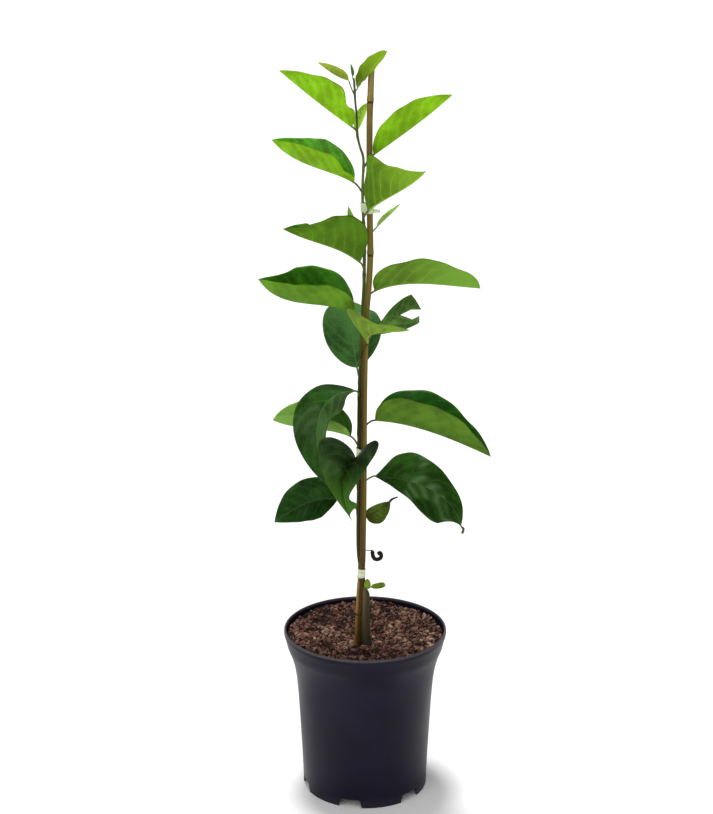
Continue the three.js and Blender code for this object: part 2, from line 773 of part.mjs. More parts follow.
// The rest of a dropped leaf's stalk, dried to a hook
function curlGeometry() {
  const thickness = (height, share) =>
    THREE.MathUtils.lerp(CURL_THIN, CURL_THICK, THREE.MathUtils.smoothstep(share, ...CURL_SWELLING));
  return rod({ line: CURL_LINE, shares: evenShares(CURL_STEPS) }, thickness, 8);
}

// Ties
// Loop round cane and stem at a height, a distance outside both
function tieLoop(height, distance) {
  const held = [
    [pointAt(CANE, height), caneRadius(height)],
    [pointAt(SCION, height), scionRadius(height)],
  ];
  return Array.from({ length: TIE_SIDES }, (_, j) => {
    const angle = (2 * Math.PI * j) / TIE_SIDES;
    const outward = new THREE.Vector3(Math.cos(angle), Math.sin(angle), 0);
    const [centre, radius] = held.reduce((a, b) =>
      a[0].dot(outward) + a[1] > b[0].dot(outward) + b[1] ? a : b,
    );
    return centre.clone().addScaledVector(outward, radius + distance);
  });
}

function tieGeometry(middle) {
  const [low, high] = [middle - TIE_WIDTH / 2, middle + TIE_WIDTH / 2];
  const [near, far] = [CLEARANCE, CLEARANCE + TIE_THICKNESS];
  const loops = [tieLoop(low, near), tieLoop(low, far), tieLoop(high, far), tieLoop(high, near)];
  const faces = [];
  for (const i of loops.keys()) {
    for (let j = 0; j < TIE_SIDES; j += 1) {
      const [k, next] = [(j + 1) % TIE_SIDES, (i + 1) % loops.length];
      const [a, b] = [i * TIE_SIDES + j, i * TIE_SIDES + k];
      const [c, d] = [next * TIE_SIDES + k, next * TIE_SIDES + j];
      faces.push([a, b, c], [a, c, d]);
    }
  }
  return geometryOf(loops.flat(), faces);
}

// The tape's loose end stands out of the loop to the right
function tailedTieGeometry(middle) {
  const side = pointAt(CANE, middle);
  const start = side.x + caneRadius(middle) + CLEARANCE + TIE_THICKNESS / 2;
  const tail = new THREE.BoxGeometry(TIE_TAIL, TIE_THICKNESS, TIE_TAIL_WIDTH)
    .translate(TIE_TAIL / 2, 0, 0)
    .rotateY(radians(TIE_TAIL_TILT))
    .translate(start, side.y, middle - TIE_TAIL_DROP);
  return meshGeometryOf(solidOf(tieGeometry(middle)).add(solidOf(tail)));
}

// Leaves
function leafGeometry(leaf) {
  const midrib = curveThrough(leaf.midrib);
  const rings = [...stalkRings(leaf, midrib), ...bladeRings(leaf, midrib)];
  const topFaces = BLADE_ACROSS.length - 1;
  const whole = skin(rings, (j) => j < topFaces);
  return leaf.torn ? cut(whole, [tornAway(leaf.torn)]) : whole;
}

// Everything beyond a ragged line given as x, z, through the whole depth of the plant
function tornAway(line) {
  const lost = new THREE.Shape(line.map(([x, z]) => new THREE.Vector2(x, z)));
  return new THREE.ExtrudeGeometry(lost, { depth: TEAR_DEPTH, bevelEnabled: false })
    .rotateX(Math.PI / 2)
    .translate(0, TEAR_DEPTH / 2, 0);
}

// Direction across the blade and out of its upper face at a place along the midrib
function bladeFrame(leaf, midrib, u) {
  const along = midrib.getTangent(u);
  const out = point(leaf.faces[0]).lerp(point(leaf.faces[1]), u);
  out.addScaledVector(along, -out.dot(along)).normalize();
  return { along, out, across: new THREE.Vector3().crossVectors(along, out) };
}

// Share of the half width at a place along the blade, round at the foot and pointed at the tip
function leafOutline(u, [foot, tip]) {
  const widest = foot / (foot + tip);
  const outline = u ** foot * (1 - u) ** tip;
  return outline / (widest ** foot * (1 - widest) ** tip);
}

const stalkRadius = (leaf) => leaf.stalk ?? STALK_RADIUS;

// Width of one half of the blade, with its swelling or waist
function widthAt(leaf, side, u) {
  const plain = leaf[side][0] * leafOutline(u, leaf.outline ?? LEAF_OUTLINE);
  const [place, spread, size] = leaf.swell?.[side] ?? [0, 1, 0];
  const ends = Math.min(1, SWELL_FADE * u) * Math.min(1, SWELL_FADE * (1 - u));
  const swelling = size * Math.exp(-(((u - place) / spread) ** 2)) * ends;
  return Math.max(plain + swelling, stalkRadius(leaf) * 0.8);
}

function bladePoint(leaf, midrib, u, v) {
  const { out, across } = bladeFrame(leaf, midrib, u);
  const side = v < 0 ? 'left' : 'right';
  const [, inner, outer] = leaf[side];
  const reach = Math.abs(v) * widthAt(leaf, side, u);
  const lift = (leaf.lift ?? 0) * Math.exp(-u / LIFT_REACH);
  const rise = radians(inner + ((outer - inner) * Math.abs(v)) / 2 + lift);
  const [height, count, start] = leaf.wave;
  const phase = count * u + start + (v < 0 ? WAVE_SHIFT : 0);
  const wave = height * Math.sin(2 * Math.PI * phase) * v * v * Math.min(1, 5 * u * (1 - u));
  return midrib
    .getPoint(u)
    .addScaledVector(across, Math.sign(v) * reach * Math.cos(rise))
    .addScaledVector(out, reach * Math.sin(rise) + wave);
}

function bladeNormal(leaf, midrib, u, v) {
  const step = NORMAL_STEP;
  const at = (du, dv) =>
    bladePoint(
      leaf,
      midrib,
      THREE.MathUtils.clamp(u + du, 0.01, 0.99),
      THREE.MathUtils.clamp(v + dv, -1, 1),
    );
  const across = at(0, step * 5).sub(at(0, -step * 5));
  const along = at(step, 0).sub(at(-step, 0));
  return across.cross(along).normalize();
}

function bladeRings(leaf, midrib) {
  const rings = [];
  for (let i = 0; i <= BLADE_STEPS; i += 1) {
    const u = (i / BLADE_STEPS) ** BLADE_CROWDING;
    const top = [];
    const under = [];
    for (const v of BLADE_ACROSS) {
      const centre = bladePoint(leaf, midrib, u, v);
      const normal = bladeNormal(leaf, midrib, u, v);
      const rib = v === 0 ? stalkRadius(leaf) * RIB_SHARE * (1 - u) : 0;
      top.push(centre.clone().addScaledVector(normal, BLADE_THICKNESS / 2));
      under.unshift(centre.clone().addScaledVector(normal, -BLADE_THICKNESS / 2 - rib));
    }
    rings.push([...top, ...under]);
  }
  return rings;
}

// The stalk leaves the stem square to it and runs into the midrib
function stalkRings(leaf, midrib) {
  const foot = midrib.getPoint(0);
  const centre = pointAt(SCION, leaf.from);
  const towards = leaf.bend ? point(leaf.bend) : foot.clone();
  const outward = towards.sub(centre).setZ(0).normalize();
  const start = centre.clone().addScaledVector(outward, scionRadius(centre.z) + CLEARANCE);
  const straight = foot.clone().addScaledVector(midrib.getTangent(0), -0.4 * foot.distanceTo(start));
  const handle = leaf.bend ? point(leaf.bend) : straight;
  const stalk = new THREE.QuadraticBezierCurve3(start, handle, foot);
  const rings = [];
  for (let i = 0; i < STALK_STEPS; i += 1) {
    const t = i / STALK_STEPS;
    const along = i === 0 ? outward : stalk.getTangent(t);
    const out = bladeFrame(leaf, midrib, 0).out;
    out.addScaledVector(along, -out.dot(along)).normalize();
    const across = new THREE.Vector3().crossVectors(along, out);
    rings.push(stalkRing(stalk.getPoint(t), across, out, stalkRadius(leaf)));
  }
  return rings;
}

// Ten points in the blade's own order: from left to right on top, and back below
function stalkRing(centre, across, out, radius) {
  const count = 2 * BLADE_ACROSS.length;
  return Array.from({ length: count }, (_, j) => {
    const angle = Math.PI - ((j + 0.5) * 2 * Math.PI) / count;
    return centre
      .clone()
      .addScaledVector(across, radius * Math.cos(angle))
      .addScaledVector(out, radius * Math.sin(angle));
  });
}

const tree = new THREE.Group();
tree.name = 'potted_persimmon_tree';

function addPart(name, finish, geometry) {
  const mesh = new THREE.Mesh(geometry, new THREE.MeshStandardMaterial(FINISH[finish]));
  mesh.name = name;
  tree.add(mesh);
}

addPart('pot', 'pot', potGeometry());
addPart('soil', 'soil', soilGeometry());
addPart('rootstock', 'bark', rootstockGeometry());
addPart('scion_stem', 'scion', scionGeometry());
addPart('bamboo_cane', 'bamboo', caneGeometry());
addPart('tie_top', 'tape', tailedTieGeometry(TOP_TIE_HEIGHT));
for (const [name, height] of Object.entries(TIE_HEIGHTS)) addPart(name, 'tape', tieGeometry(height));
for (const leaf of LEAVES) addPart(leaf.name, leaf.finish, leafGeometry(leaf));
addPart('dried_curl', 'dried', curlGeometry());

export default tree;
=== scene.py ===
"""Potted fuyu persimmon tree, a young grafted tree tied to a cane in a dark nursery pot.

Sizes are in millimetres, as in the CAD part. A mesh is brought to metres when its piece is made, and the
places that materials read are in metres.
"""

import logging
import math
import random
from dataclasses import dataclass, replace
from enum import Enum
from typing import Any, Callable, Iterable, Sequence

import bmesh
import bpy
import numpy as np
from mathutils import Euler, Matrix, Vector, noise


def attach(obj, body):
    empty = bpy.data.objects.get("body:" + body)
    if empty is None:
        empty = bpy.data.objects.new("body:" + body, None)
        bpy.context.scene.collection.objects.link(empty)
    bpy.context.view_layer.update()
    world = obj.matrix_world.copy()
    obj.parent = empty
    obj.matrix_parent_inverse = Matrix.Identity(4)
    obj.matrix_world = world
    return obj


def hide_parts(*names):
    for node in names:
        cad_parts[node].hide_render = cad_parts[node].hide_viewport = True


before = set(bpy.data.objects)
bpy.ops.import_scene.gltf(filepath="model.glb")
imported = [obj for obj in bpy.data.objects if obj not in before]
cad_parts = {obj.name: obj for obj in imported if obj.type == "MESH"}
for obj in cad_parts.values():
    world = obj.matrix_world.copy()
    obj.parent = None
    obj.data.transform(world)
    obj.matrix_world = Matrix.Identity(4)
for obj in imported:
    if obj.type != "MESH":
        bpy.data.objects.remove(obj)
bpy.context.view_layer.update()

LOG = logging.getLogger("potted_persimmon")
METRES = 0.001
UP = Vector((0.0, 0.0, 1.0))
BACK = Vector((0.0, 1.0, 0.0))
WELD = 1e-4
SOIL_LEVEL = 197.0
TRUNK_CENTRE = (-0.3, -22.0)

Pair = tuple[float, float]
Triple = tuple[float, float, float]
Colour = tuple[float, float, float]
Stops = tuple[tuple[float, Colour], ...]
Socket = bpy.types.NodeSocket
Node = bpy.types.Node
Rings = list[list[Vector]]


# Wiring of materials


def rgba(colour: Colour) -> tuple[float, float, float, float]:
    """Return a colour with full alpha."""
    return (*colour, 1.0)


class Graph:
    """A node tree with short calls for the nodes that the finishes use."""

    def __init__(self, tree: bpy.types.NodeTree) -> None:
        """Take the tree to wire."""
        self.tree = tree

    def add(self, kind: str, inputs: dict[str | int, Any] | None = None, **settings: Any) -> Node:
        """Add a node.

        Args:
            kind: The node's type name.
            inputs: Sockets or plain values for its inputs, by name or number.
            settings: Values for the node's own properties.

        Returns:
            The new node.
        """
        node = self.tree.nodes.new(kind)
        for name, value in settings.items():
            setattr(node, name, value)
        self.feed(node, inputs or {})
        return node

    def feed(self, node: Node, inputs: dict[str | int, Any]) -> None:
        """Link sockets to a node's inputs, or set plain values on them.

        Args:
            node: The node.
            inputs: Sockets or plain values for its inputs, by name or number.
        """
        for name, value in inputs.items():
            if isinstance(value, bpy.types.NodeSocket):
                self.tree.links.new(value, node.inputs[name])
            else:
                node.inputs[name].default_value = value

    def math(self, operation: str, *values: Any) -> Socket:
        """Return the result of a Math node on one, two or three values."""
        return self.add("ShaderNodeMath", dict(enumerate(values)), operation=operation).outputs[0]

    def times(self, first: Any, second: Any) -> Socket:
        """Return the product of two values."""
        return self.math("MULTIPLY", first, second)

    def plus(self, first: Any, second: Any) -> Socket:
        """Return the sum of two values."""
        return self.math("ADD", first, second)

    def minus(self, first: Any, second: Any) -> Socket:
        """Return the first value less the second."""
        return self.math("SUBTRACT", first, second)

    def blend(self, share: Any, first: Any, second: Any) -> Socket:
        """Mix two colours.

        Args:
            share: How much of the second colour shows, from 0 to 1.
            first: The colour at 0, as a socket or plain.
            second: The colour at 1, as a socket or plain.

        Returns:
            The mixed colour.
        """
        pair = [rgba(c) if isinstance(c, tuple) else c for c in (first, second)]
        return self.add("ShaderNodeMix", {0: share, 6: pair[0], 7: pair[1]}, data_type="RGBA").outputs[2]

    def tint(self, colour: Any, tint: Colour, mask: Socket, share: float) -> Socket:
        """Return a colour that takes up a share of a tint where the mask is 1."""
        return self.blend(self.times(mask, share), colour, tint)

    def span(self, value: Socket, low: float, high: float, start: float = 0.0, end: float = 1.0) -> Socket:
        """Return the value mapped smoothly from low..high to start..end, and held there."""
        places = {0: value, 1: low, 2: high, 3: start, 4: end}
        return self.add("ShaderNodeMapRange", places, interpolation_type="SMOOTHSTEP").outputs[0]

    def spread(self, noise: Socket, start: float = 0.0, end: float = 1.0) -> Socket:
        """Return a noise's usual values mapped smoothly to start..end."""
        return self.span(noise, 0.3, 0.7, start, end)

    def ramp(self, share: Socket, stops: Stops) -> Socket:
        """Return the colour of a ramp at a share.

        Args:
            share: Where to read the ramp.
            stops: Place and colour of each stop, in rising order.

        Returns:
            The colour socket.
        """
        node = self.add("ShaderNodeValToRGB", {0: share})
        elements = node.color_ramp.elements
        while len(elements) < len(stops):
            elements.new(1.0)
        for element, (place, colour) in zip(elements, stops):
            element.position = place
            element.color = rgba(colour)
        return node.outputs[0]

    def place(self) -> Socket:
        """Return the point in the object's own coordinates, in metres."""
        return self.add("ShaderNodeTexCoord").outputs["Object"]

    def stretched(self, place: Socket, scale: Triple) -> Socket:
        """Return a place scaled along each axis."""
        return self.add("ShaderNodeMapping", {"Vector": place, "Scale": scale}).outputs[0]

    def split(self, vector: Socket) -> tuple[Socket, Socket, Socket]:
        """Return the three parts of a vector."""
        node = self.add("ShaderNodeSeparateXYZ", {0: vector})
        return node.outputs[0], node.outputs[1], node.outputs[2]

    def noise(self, place: Socket, scale: float, detail: float = 2.0, rough: float = 0.5) -> Socket:
        """Return a soft noise from about 0.25 to 0.75."""
        inputs = {"Vector": place, "Scale": scale, "Detail": detail, "Roughness": rough}
        return self.add("ShaderNodeTexNoise", inputs).outputs[0]

    def cells(self, place: Socket, scale: Any, feature: str = "F1") -> Socket:
        """Return the distance to the nearest cell's centre or edge."""
        inputs = {"Vector": place, "Scale": scale}
        return self.add("ShaderNodeTexVoronoi", inputs, feature=feature).outputs[0]

    def attribute(self, name: str) -> Socket:
        """Return a named attribute of the piece as a number."""
        return self.add("ShaderNodeAttribute", attribute_name=name).outputs["Fac"]

    def bump(self, height: Socket, millimetres: float, strength: float = 1.0) -> Socket:
        """Return the normal of a relief that is so many millimetres high."""
        inputs = {"Height": height, "Distance": millimetres * METRES, "Strength": strength}
        return self.add("ShaderNodeBump", inputs).outputs[0]

    def group(self, tree: bpy.types.NodeTree, inputs: dict[str, Any]) -> dict[str, Socket]:
        """Return the outputs, by name, of a node that uses a shared group with its own inputs."""
        node = self.add("ShaderNodeGroup", inputs, node_tree=tree)
        return {socket.name: socket for socket in node.outputs}


def new_group(
    name: str, inputs: Iterable[str], outputs: Iterable[str]
) -> tuple[Graph, dict[str, Socket], Node]:
    """Start a shared node group whose sockets are all numbers, but for those that are named Place.

    Args:
        name: The group's name.
        inputs: Names of its inputs.
        outputs: Names of its outputs.

    Returns:
        Its graph, the sockets that carry its inputs, and the node that takes its outputs.
    """
    tree = bpy.data.node_groups.new(name, "ShaderNodeTree")
    for way, names in (("INPUT", inputs), ("OUTPUT", outputs)):
        for label in names:
            kind = "NodeSocketVector" if label == "Place" else "NodeSocketFloat"
            tree.interface.new_socket(label, in_out=way, socket_type=kind)
    graph = Graph(tree)
    given = {socket.name: socket for socket in graph.add("NodeGroupInput").outputs}
    return graph, given, graph.add("NodeGroupOutput")


def new_material(name: str) -> tuple[bpy.types.Material, Graph, Node, Node]:
    """Make a material.

    Args:
        name: The material's name.

    Returns:
        The material, its graph, its Principled BSDF and its output node.
    """
    material = bpy.data.materials.new(name)
    material.use_nodes = True
    nodes = material.node_tree.nodes
    return material, Graph(material.node_tree), nodes["Principled BSDF"], nodes["Material Output"]


def let_through(graph: Graph, shader: Node, output: Node, colour: Socket, share: float) -> None:
    """Let some light through a thin piece, in the piece's own colour.

    Args:
        graph: The material's graph.
        shader: Its Principled BSDF.
        output: Its output node.
        colour: The piece's colour.
        share: How much of the light goes through.
    """
    glow = graph.add("ShaderNodeBsdfTranslucent", {"Color": colour})
    mixed = graph.add("ShaderNodeMixShader", {0: share, 1: shader.outputs[0], 2: glow.outputs[0]})
    graph.feed(output, {"Surface": mixed.outputs[0]})


# Lines and skins


class CentreLine:
    """Smooth line through points, with the same course as the part's own centre lines."""

    def __init__(self, points: Sequence[Triple]) -> None:
        """Take the points that the line goes through."""
        self.points = [Vector(p) for p in points]

    def at(self, share: float) -> Vector:
        """Return the point at a share of the line.

        Args:
            share: From 0 at the first point to 1 at the last.

        Returns:
            The point.
        """
        place = min(max(share, 0.0), 1.0) * (len(self.points) - 1)
        index = min(int(place), len(self.points) - 2)
        weight = place - index
        first, second = self.points[index], self.points[index + 1]
        before = self.points[index - 1] if index > 0 else 2 * first - second
        after = self.points[index + 2] if index + 2 < len(self.points) else 2 * second - first
        knots = (before, first, second, after)
        near, middle, far = ((b - a).length ** 0.5 for a, b in zip(knots, knots[1:]))
        leave = (first - before) / near - (second - before) / (near + middle) + (second - first) / middle
        arrive = (second - first) / middle - (after - first) / (middle + far) + (after - second) / far
        leave, arrive = leave * middle, arrive * middle
        square = -3 * first + 3 * second - 2 * leave - arrive
        cube = 2 * first - 2 * second + leave + arrive
        return first + leave * weight + square * weight**2 + cube * weight**3

    def direction(self, share: float) -> Vector:
        """Return the unit vector along the line at a share."""
        return (self.at(share + 1e-3) - self.at(share - 1e-3)).normalized()

    def share_at(self, height: float) -> float:
        """Return the share at which a rising line reaches a height.

        Args:
            height: The height.

        Returns:
            The share, found by halving.
        """
        low, high = 0.0, 1.0
        for _ in range(30):
            middle = (low + high) / 2
            low, high = (middle, high) if self.at(middle).z < height else (low, middle)
        return low

    def at_height(self, height: float) -> Vector:
        """Return the point of a rising line at a height."""
        return self.at(self.share_at(height))


def even_turns(count: int) -> list[float]:
    """Return angles spread evenly round a circle."""
    return [2 * math.pi * i / count for i in range(count)]


def unit(vectors: np.ndarray) -> np.ndarray:
    """Return vectors at length 1."""
    return vectors / np.maximum(np.linalg.norm(vectors, axis=-1, keepdims=True), 1e-12)


def smoothstep(low: float, high: float, value: float) -> float:
    """Return how far the value has come from low to high, eased at both ends."""
    share = min(max((value - low) / (high - low), 0.0), 1.0)
    return share * share * (3 - 2 * share)


def bell(value: Any, middle: float, spread: float) -> Any:
    """Return the height of a bell curve that is 1 at its middle."""
    return np.exp(-(((value - middle) / spread) ** 2))


def round_noise(turn: float, around: float, along: float) -> float:
    """Return a noise from -1 to 1 that meets itself round a circle, at an angle and a place along it."""
    return noise.noise(Vector((math.cos(turn) * around, math.sin(turn) * around, along)))


def circle(centre: Vector, direction: Vector, radii: Sequence[float]) -> list[Vector]:
    """Return a ring of points round a centre, square to a direction.

    Args:
        centre: The ring's middle.
        direction: The unit vector that it is square to, which doesn't run from front to back.
        radii: One distance from the centre for each point.

    Returns:
        The points.
    """
    across = BACK.cross(direction).normalized()
    over = direction.cross(across)
    turns = even_turns(len(radii))
    return [centre + (across * math.cos(a) + over * math.sin(a)) * r for a, r in zip(turns, radii)]


def skin(rings: Sequence[Sequence[Vector]], layers: dict[str, np.ndarray] | None = None) -> bmesh.types.BMesh:
    """Wrap a grid round a row of rings, merge its seam and close both ends.

    Args:
        rings: Rings of equally many points.
        layers: Vertex attributes to store, each with a row of values for each ring.

    Returns:
        The closed mesh, in millimetres.
    """
    around, rows = len(rings[0]), len(rings) - 1
    mesh = bmesh.new()
    bmesh.ops.create_grid(mesh, x_segments=around, y_segments=rows, size=1.0)
    stores = {name: mesh.verts.layers.float.new(name) for name in layers or {}}
    for vert in mesh.verts:
        row = round((vert.co.y + 1) / 2 * rows)
        column = round((vert.co.x + 1) / 2 * around) % around
        vert.co = rings[row][column]
        for name, store in stores.items():
            vert[store] = layers[name][row, column]
    bmesh.ops.remove_doubles(mesh, verts=mesh.verts, dist=WELD)
    bmesh.ops.holes_fill(mesh, edges=[e for e in mesh.edges if e.is_boundary], sides=0)
    bmesh.ops.recalc_face_normals(mesh, faces=mesh.faces)
    return mesh


def rod(line: CentreLine, steps: int, radius: Callable[[Vector, float], float], sides: int) -> Rings:
    """Return rings along a line.

    Args:
        line: The centre line.
        steps: How many steps the rings divide it into.
        radius: Radius for a point of the line and an angle round it.
        sides: Points in a ring.

    Returns:
        The rings.
    """
    rings = []
    for step in range(steps + 1):
        centre = line.at(step / steps)
        radii = [radius(centre, turn) for turn in even_turns(sides)]
        rings.append(circle(centre, line.direction(step / steps), radii))
    return rings


def close_end(rings: Rings, *steps: tuple[float, Sequence[float]]) -> None:
    """Round off the end of a row of rings with more rings.

    Args:
        rings: The rings, which get longer.
        steps: For each new ring, its size as a share of the last one, and how far it is moved from there.
    """
    for share, shift in steps:
        centre = sum(rings[-1], Vector()) / len(rings[-1])
        rings.append([centre + (p - centre) * share + Vector(shift) for p in rings[-1]])


def make_piece(name: str, mesh: bmesh.types.BMesh, material: bpy.types.Material) -> bpy.types.Object:
    """Turn a mesh in millimetres into a smooth object in metres.

    Args:
        name: The object's name.
        mesh: The mesh, which is freed.
        material: Its only material.

    Returns:
        The object, at the origin.
    """
    bmesh.ops.scale(mesh, vec=(METRES,) * 3, verts=mesh.verts)
    for face in mesh.faces:
        face.smooth = True
    data = bpy.data.meshes.new(name)
    mesh.to_mesh(data)
    mesh.free()
    data.materials.append(material)
    piece = bpy.data.objects.new(name, data)
    bpy.context.scene.collection.objects.link(piece)
    return piece


def enlist(piece: bpy.types.Object, slot: str, *nodes: str) -> None:
    """Put a piece on the body and report it.

    Args:
        piece: The piece.
        slot: Its slot, which is not used.
        nodes: The nodes that it stands for.
    """
    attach(piece, "root")
    if nodes:
        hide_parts(*nodes)
    faces = sum(len(p.vertices) - 2 for p in piece.data.polygons)
    LOG.info("%s for %s: %d triangles", piece.name, ", ".join(nodes) or "detail", faces)


def carved(piece: bpy.types.Object, tool: bmesh.types.BMesh) -> None:
    """Cut a tool out of a piece, and keep the result as the piece's mesh.

    Args:
        piece: The piece.
        tool: The tool's mesh in millimetres, which is freed.
    """
    cutter = make_piece(piece.name + "_tool", tool, piece.data.materials[0])
    cut = piece.modifiers.new("cut", "BOOLEAN")
    cut.operation = "DIFFERENCE"
    cut.solver = "EXACT"
    cut.object = cutter
    graph = bpy.context.evaluated_depsgraph_get()
    result = bpy.data.meshes.new_from_object(piece.evaluated_get(graph))
    piece.modifiers.clear()
    old, piece.data = piece.data, result
    bpy.data.objects.remove(cutter)
    bpy.data.meshes.remove(old)


# Pot


@dataclass(frozen=True)
class PlasticFinish:
    """Blow-moulded dark blue-black plastic with a satin face, fine grain, a little dust and a painted
    highlight on the rim.
    """

    body: Colour = (0.003, 0.002, 0.011)
    worn: Colour = (0.007, 0.005, 0.018)
    dust_and_highlight: Colour = (0.13, 0.11, 0.11)
    dust_and_highlight_share: float = 0.12
    foot_dust: Pair = (0.016, 0.001)
    # The rim's heights and weight lighten its top in the dust colour: a little dust and a painted highlight.
    rim_dust_and_highlight: Pair = (0.2042, 0.2064)
    rim_highlight_weight: float = 4.6
    gloss: float = 0.14

    def material(self) -> bpy.types.Material:
        """Make the pot's material.

        Returns:
            The material.
        """
        material, graph, shader, _ = new_material("pot_plastic")
        place = graph.place()
        height = graph.split(place)[2]
        drift = graph.noise(place, 14.0, 3.0)
        speck = graph.span(graph.noise(place, 700.0), 0.3, 0.6, 0.4, 1.0)
        # Painted highlight along the top of the rim, mixed with dust; the foot gets dust only.
        rim = graph.times(graph.span(height, *self.rim_dust_and_highlight), self.rim_highlight_weight)
        dust_and_highlight_mask = graph.times(graph.plus(graph.span(height, *self.foot_dust), rim), speck)
        colour = graph.blend(graph.span(drift, 0.35, 0.7), self.body, self.worn)
        look = {
            "Base Color": graph.tint(colour, self.dust_and_highlight, dust_and_highlight_mask, self.dust_and_highlight_share),
            "Roughness": graph.spread(drift, 0.36, 0.46),
            "Specular IOR Level": self.gloss,
            "Normal": graph.bump(graph.noise(place, 950.0), 0.04, 0.5),
        }
        graph.feed(shader, look)
        return material


@dataclass
class NurseryPot:
    """Round pot with a flared shoulder, a rolled lip and a notched foot."""

    finish: PlasticFinish
    lip_radius: float = 100.0
    wall: float = 1.8
    wall_rows: int = 36
    inside_from: float = 40.0
    floor_height: float = 13.0
    floor_thickness: float = 2.2
    pad_radius: float = 38.0
    notch_count: int = 6
    notch_first: float = -104.0
    notch_span: float = 22.0
    notch_slant: float = 2.5
    notch_height: float = 11.0
    notch_depth: float = 12.0
    notch_round: float = 2.4
    drain_radius: float = 5.0
    drain_ring: float = 58.0
    drain_depth: float = 8.0
    sharp_angle: float = 38.0
    steps: int = 168
    outside: tuple[Pair, ...] = (
        (77.0, 0.0), (77.3, 9.0), (79.0, 50.0), (81.6, 100.0), (83.4, 128.0), (85.2, 147.0),
        (88.0, 163.0), (91.8, 176.0), (95.4, 185.0), (98.0, 195.5),
    )
    lip: tuple[Pair, ...] = (
        (98.65, 197.8), (99.2, 199.5), (99.65, 200.9), (99.9, 202.2), (100.0, 203.4), (100.0, 205.8),
        (99.85, 206.8), (99.45, 207.55), (98.8, 208.0), (98.1, 207.95), (97.55, 207.5), (97.4, 206.7),
        (97.3, 201.0),
    )
    underside: tuple[Pair, ...] = (
        (0.0, 0.0), (37.4, 0.0), (38.6, 0.5), (43.6, 12.5), (45.0, 13.0), (73.6, 13.0), (74.6, 12.0),
        (75.4, 0.4), (75.8, 0.0), (76.5, 0.0), (77.0, 0.5),
    )
    floor: tuple[Pair, ...] = ((75.2, 18.2), (72.2, 15.2), (43.0, 15.2), (37.0, 2.2), (0.0, 2.2))

    def wall_line(self) -> CentreLine:
        """Return the outer wall from foot to lip as a line in the XZ plane."""
        return CentreLine([(r, 0.0, z) for r, z in self.outside])

    def profile(self) -> list[Pair]:
        """Lay out the pot's whole section, from the middle below round to the middle of the floor.

        Returns:
            Radius and height of its points.
        """
        line = self.wall_line()
        outer = [line.at(i / self.wall_rows) for i in range(self.wall_rows + 1)]
        inner = [(p.x - self.wall, p.z) for p in reversed(outer) if p.z > self.inside_from]
        return [*self.underside, *((p.x, p.z) for p in outer[1:]), *self.lip, *inner, *self.floor]

    def shell(self) -> bmesh.types.BMesh:
        """Spin the section into a closed shell.

        Returns:
            The shell.
        """
        mesh = bmesh.new()
        corners = [mesh.verts.new((r, 0.0, z)) for r, z in self.profile()]
        edges = [mesh.edges.new(pair) for pair in zip(corners, corners[1:])]
        line, full = corners + edges, 2 * math.pi
        bmesh.ops.spin(mesh, geom=line, axis=UP, angle=full, steps=self.steps, use_merge=True)
        bmesh.ops.remove_doubles(mesh, verts=mesh.verts, dist=WELD)
        bmesh.ops.recalc_face_normals(mesh, faces=mesh.faces)
        return mesh

    def openings(self) -> bmesh.types.BMesh:
        """Make the tools for the notches through the foot ring and the drain holes between them.

        Returns:
            All tools in one mesh.
        """
        mesh = bmesh.new()
        foot, radius = self.outside[0][0], self.drain_radius
        width = 2 * foot * math.sin(math.radians(self.notch_span / 2))
        size = Matrix.Diagonal((self.notch_depth, width, 2 * self.notch_height, 1.0))
        half = Matrix.Rotation(math.pi / self.notch_count, 4, "Z")
        hole = half @ Matrix.Translation((self.drain_ring, 0.0, self.floor_height + 1.0))
        for i in range(self.notch_count):
            turn = Matrix.Rotation(math.radians(self.notch_first + 360 / self.notch_count * i), 4, "Z")
            place = turn @ Matrix.Translation((foot, 0.0, 0.0)) @ size
            block = bmesh.ops.create_cube(mesh, size=1.0, matrix=place)["verts"]
            for vert in block:
                across = (turn.inverted() @ vert.co).y
                lean = math.copysign(self.notch_slant, -vert.co.z * across)
                vert.co += turn @ Vector((0.0, lean, 0.0))
            outward = turn @ Vector((1.0, 0.0, 0.0))
            upper = {e for v in block for e in v.link_edges if min(c.co.z for c in e.verts) > 0}
            top = [e for e in upper if abs((e.verts[0].co - e.verts[1].co).normalized().dot(outward)) > 0.9]
            bmesh.ops.bevel(
                mesh, geom=top, offset=self.notch_round, affect="EDGES", segments=4, profile=0.5, material=-1
            )
            at, deep = turn @ hole, self.drain_depth
            bmesh.ops.create_cone(
                mesh, cap_ends=True, segments=24, radius1=radius, radius2=radius, depth=deep, matrix=at
            )
        return mesh

    def build(self) -> None:
        """Make the pot."""
        pot = make_piece("pot_shell", self.shell(), self.finish.material())
        carved(pot, self.openings())
        pot.data.set_sharp_from_angle(angle=math.radians(self.sharp_angle))
        enlist(pot, "pot", "pot")


# Soil


